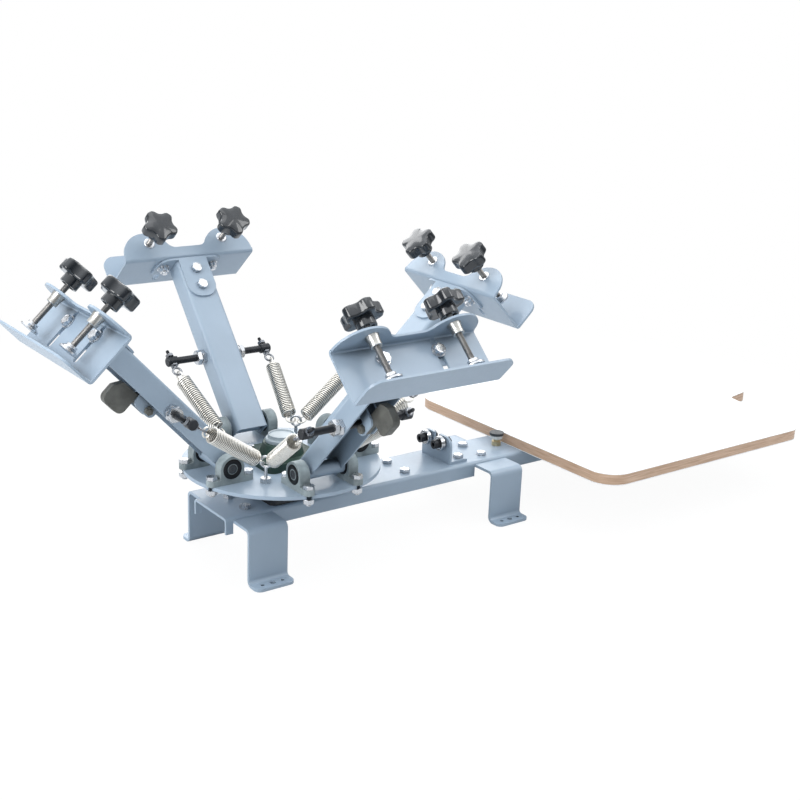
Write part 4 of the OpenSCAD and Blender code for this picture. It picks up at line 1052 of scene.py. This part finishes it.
def bar_rod():
    """The cross bar along its own +Z, with a boss at each end."""
    inner = BAR_EYE_S - BAR_BOSS_L / 2
    outer = BAR_EYE_S + BAR_BOSS_L / 2
    half = [
        (BAR_R, inner), (BAR_BOSS_R, inner + BAR_EASE), (BAR_BOSS_R, outer - BAR_EASE),
        (BAR_BOSS_R - BAR_EASE, outer)]
    return lathe([(radius, -z) for radius, z in reversed(half)] + half, 32)


def eye_bolt():
    """An eye bolt through the bar at z = 0 with its eye up along +Z: the bolt, and its thread."""
    ring_z = EYE_REACH - EYE_R
    ring = []
    for i in range(EYE_RING_STEPS + 1):
        turn = 2 * math.pi * i / EYE_RING_STEPS
        ring.append((0, EYE_R * math.sin(turn), ring_z - EYE_R * math.cos(turn)))
    bolt = merged(
        tube(ring, EYE_WIRE / 2, 12),
        lathe([(EYE_SHANK_R, -BAR_BOSS_R), (EYE_SHANK_R, ring_z - EYE_R)], 20),
        moved(hex_head(10.5 * MM, 4.5 * MM), at(0, 0, -BAR_BOSS_R) @ DOWN),
        moved(hex_head(10 * MM, 2.4 * MM), at(0, 0, BAR_BOSS_R - 0.3 * MM)))
    return bolt, thread(EYE_SHANK_R, EYE_PITCH, -BAR_BOSS_R - EYE_TIP, -BAR_BOSS_R, 16)


def spring_bar(k):
    """The black cross bar with its bosses, its two pairs of nuts and an eye bolt at each end."""
    body = f"arm_{k}"
    place = arm(k) @ at(BAR_X, 0, BAR_H)
    rod = moved(bar_rod(), place @ sideways(1))
    piece(f"spring_bar_rod_{k}", rod, BLACK_OXIDE, body, [f"spring_bar_{k}"])
    nuts = []
    for _, sign in SIDES:
        seat = place @ at(0, sign * ARM_HALF_W, 0) @ sideways(sign)
        lock = at(0, 0, BAR_NUT_H + BAR_NUT_GAP) @ Matrix.Rotation(BAR_NUT_TURN, 4, "Z")
        nuts += [seat, seat @ lock]
    fasteners(f"bar_nuts_{k}", hex_head(BAR_NUT_FLATS, BAR_NUT_H), nuts, ZINC, body)
    _, bar_end, pull_way, _ = spring_ends(k)
    bolt, tip = eye_bolt()
    bolts, tips = [], []
    for _, sign in SIDES:
        # The ring's plane holds the bar's own direction
        eye_place = station(k) @ facing(pull_way, (bar_end.x, sign * BAR_EYE_S, bar_end.z))
        along_bar = station(k).to_3x3() @ Vector((0, 1, 0))
        ring_side, ring_up = (eye_place.to_3x3() @ Vector(axis) for axis in ((0, 1, 0), (0, 0, 1)))
        spin = ring_side.angle(along_bar)
        if ring_side.cross(along_bar).dot(ring_up) <= 0:
            spin = -spin
        eye_place = eye_place @ Matrix.Rotation(spin, 4, "Z")
        bolts.append(moved(bolt, eye_place))
        tips.append(moved(tip, eye_place))
    piece(f"eye_bolts_{k}", merged(*bolts), EYE_STEEL, body)
    piece(f"eye_bolt_threads_{k}", merged(*tips), BLACK_OXIDE, body)


COIL_TURNS = 29.25
COIL_STEPS = 20
LOOP_STEPS = 28
LOOP_OPENING = math.radians(30)
COIL_TO_LOOP = SPRING_WIRE * 0.8


def spring_path(length):
    """One extension spring along +Z from its post: open loop, close coils, open loop."""
    post_loop = LOOP_R - SPRING_WIRE / 2 - RING_WIRE / 2 - POST_SLACK
    eye_loop = length - LOOP_R + SPRING_WIRE / 2 + EYE_WIRE / 2 + EYE_SLACK
    coil_start = post_loop + LOOP_R + COIL_TO_LOOP
    coil_end = eye_loop - LOOP_R - COIL_TO_LOOP
    loop_arc = 2 * math.pi - 2.6 * LOOP_OPENING
    lower = []
    for i in range(LOOP_STEPS + 1):
        turn = -math.pi + LOOP_OPENING * 1.6 + loop_arc * i / LOOP_STEPS
        lower.append(Vector((0, LOOP_R * math.sin(turn), post_loop - LOOP_R * math.cos(turn))))
    coil = []
    count = int(COIL_TURNS * COIL_STEPS)
    for i in range(count + 1):
        turn = math.pi + 2 * math.pi * i / COIL_STEPS
        z = coil_start + (coil_end - coil_start) * i / count
        coil.append(Vector((COIL_R * math.cos(turn), COIL_R * math.sin(turn), z)))
    upper = []
    for i in range(LOOP_STEPS + 1):
        turn = LOOP_OPENING + loop_arc * i / LOOP_STEPS
        upper.append(Vector((LOOP_R * math.sin(turn), 0, eye_loop - LOOP_R * math.cos(turn))))
    into = bridge(lower[-1], lower[-1] - lower[-2], coil[0], coil[1] - coil[0])
    out = bridge(coil[-1], coil[-1] - coil[-2], upper[0], upper[1] - upper[0])
    return lower + into + coil + out + upper, coil_start, coil_end


def arm_springs(k):
    """The two springs of an arm, each from its post's ring to its eye bolt on the bar, as they hang
    in the raised pose.
    """
    hook, _, _, eye = spring_ends(k)
    run = eye - hook
    path, coil_start, coil_end = spring_path(run.length)
    wire = tube(path, SPRING_WIRE / 2, 8)
    lean = math.atan2(run.y, run.x)
    tilt = math.atan2(run.z, math.hypot(run.x, run.y))
    for side, sign in SIDES:
        mirror = Matrix.Scale(sign, 4, (0, 1, 0))
        place = (
            station(k) @ mirror @ Matrix.Translation(hook)
            @ Matrix.Rotation(lean, 4, "Z") @ Matrix.Rotation(math.pi / 2 - tilt, 4, "Y"))
        nodes = [f"spring_coils_{k}"] + ([f"spring_hooks_{k}"] if sign > 0 else [])
        spring = piece(
            f"arm_spring_{side}_{k}", moved(wire, place), SPRING_STEEL, None, nodes)
        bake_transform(spring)


# ---- Clamp screws ----

# The knob's hub and star, up along the rod from the pad's seat
KNOB_HUB_Z = 69.35 * MM
KNOB_HUB_L = 10.8 * MM
KNOB_HUB_R = 12 * MM
KNOB_BORE_R = KNOB_HUB_R * 0.74
KNOB_RECESS = 2.4 * MM
KNOB_R = 25 * MM
KNOB_H = 18 * MM
KNOB_LOBES = 5
KNOB_EASE = 3.2 * MM
KNOB_DOME = 1.4 * MM
# The five hollows' radius, and how far from the knob's middle they are centred
KNOB_HOLLOW_R = KNOB_R * 0.6
KNOB_HOLLOW_OUT = KNOB_R * 1.36
# Angles over which the star's radius is averaged, which rounds its points
STAR_EASE = tuple(math.radians(step) for step in (-6, -3, 0, 3, 6))
KNOB_SEGMENTS = 120
KNOB_EASE_STEPS = 6
ROD_LOW = 4.8 * MM
ROD_HIGH = KNOB_HUB_Z + 3 * MM


def star_radius(turn):
    """The knob's radius: a circle with five shallow round hollows."""
    half_lobe = math.pi / KNOB_LOBES
    local = (turn + half_lobe) % (2 * half_lobe) - half_lobe
    across = KNOB_HOLLOW_OUT * math.sin(local)
    if abs(across) >= KNOB_HOLLOW_R:
        return KNOB_R
    hollow = KNOB_HOLLOW_OUT * math.cos(local) - math.sqrt(KNOB_HOLLOW_R ** 2 - across ** 2)
    return min(KNOB_R, hollow)


def knob_outline(share, inset, height):
    """The star at a share of its width, less an inset, with its points eased."""
    points = []
    for turn in around(KNOB_SEGMENTS):
        r = sum(star_radius(turn + step) for step in STAR_EASE) / len(STAR_EASE)
        r = r * share - inset
        points.append((r * math.cos(turn), r * math.sin(turn), height))
    return points


def star_knob():
    """The moulded knob: a recessed hub, then the star with eased edges and a gently domed top."""
    low = KNOB_HUB_Z + KNOB_HUB_L
    top = low + KNOB_H
    hub = (
        (1 * MM, KNOB_HUB_Z + KNOB_RECESS), (KNOB_BORE_R, KNOB_HUB_Z + KNOB_RECESS),
        (KNOB_BORE_R, KNOB_HUB_Z), (KNOB_HUB_R * 0.94, KNOB_HUB_Z),
        (KNOB_HUB_R, KNOB_HUB_Z + 0.8 * MM), (KNOB_HUB_R, low))
    rings = [circle_ring(radius, height, KNOB_SEGMENTS) for radius, height in hub]
    turns = [math.pi / 2 * step / KNOB_EASE_STEPS for step in range(KNOB_EASE_STEPS + 1)]
    for turn in turns:
        inset, rise = KNOB_EASE * (1 - math.sin(turn)), KNOB_EASE * (1 - math.cos(turn))
        rings.append(knob_outline(1, inset, low + rise))
    for turn in turns:
        inset, fall = KNOB_EASE * (1 - math.cos(turn)), KNOB_EASE * (1 - math.sin(turn))
        rings.append(knob_outline(1, inset, top - KNOB_DOME - fall))
    for share in (0.75, 0.6, 0.45, 0.3, 0.15, 0.05):
        rings.append(knob_outline(share, 0, top - KNOB_DOME * share ** 2))
    return ring_skin(rings)


def clamp_screw(k, side, sign):
    """One clamp screw's knob, turned its own way, and its threaded rod."""
    place = arm(k) @ at(SCREW_X, sign * SCREW_S, CHANNEL_FLOOR + PAD_GAP + SCREW_LIFTS[k])
    spin = Matrix.Rotation(0.9 * k + 0.5 * sign, 4, "Z")
    knob = moved(star_knob(), place @ spin)
    body = f"knob_{side}_{k}"
    piece(f"star_knob_{side}_{k}", knob, KNOB_PLASTIC, body, [f"clamp_knob_{side}_{k}"])
    rod = thread(BOLT_R, BOLT_PITCH, ROD_LOW, ROD_HIGH)
    piece(f"clamp_rod_{side}_{k}", moved(rod, place), SCREW_STEEL, body)


# ---- The whole machine ----

place_camera()
backdrop()
studio()
paint_nodes()
base_fasteners()
roller_shields()
turret_fasteners()
hub_cap()
bearing_inserts()
for k in STATIONS:
    head_fasteners(k)
    spring_bar(k)
    for side, sign in SIDES:
        clamp_screw(k, side, sign)
    arm_springs(k)

bpy.context.scene.view_settings.view_transform = "Standard"

bpy.context.view_layer.update()
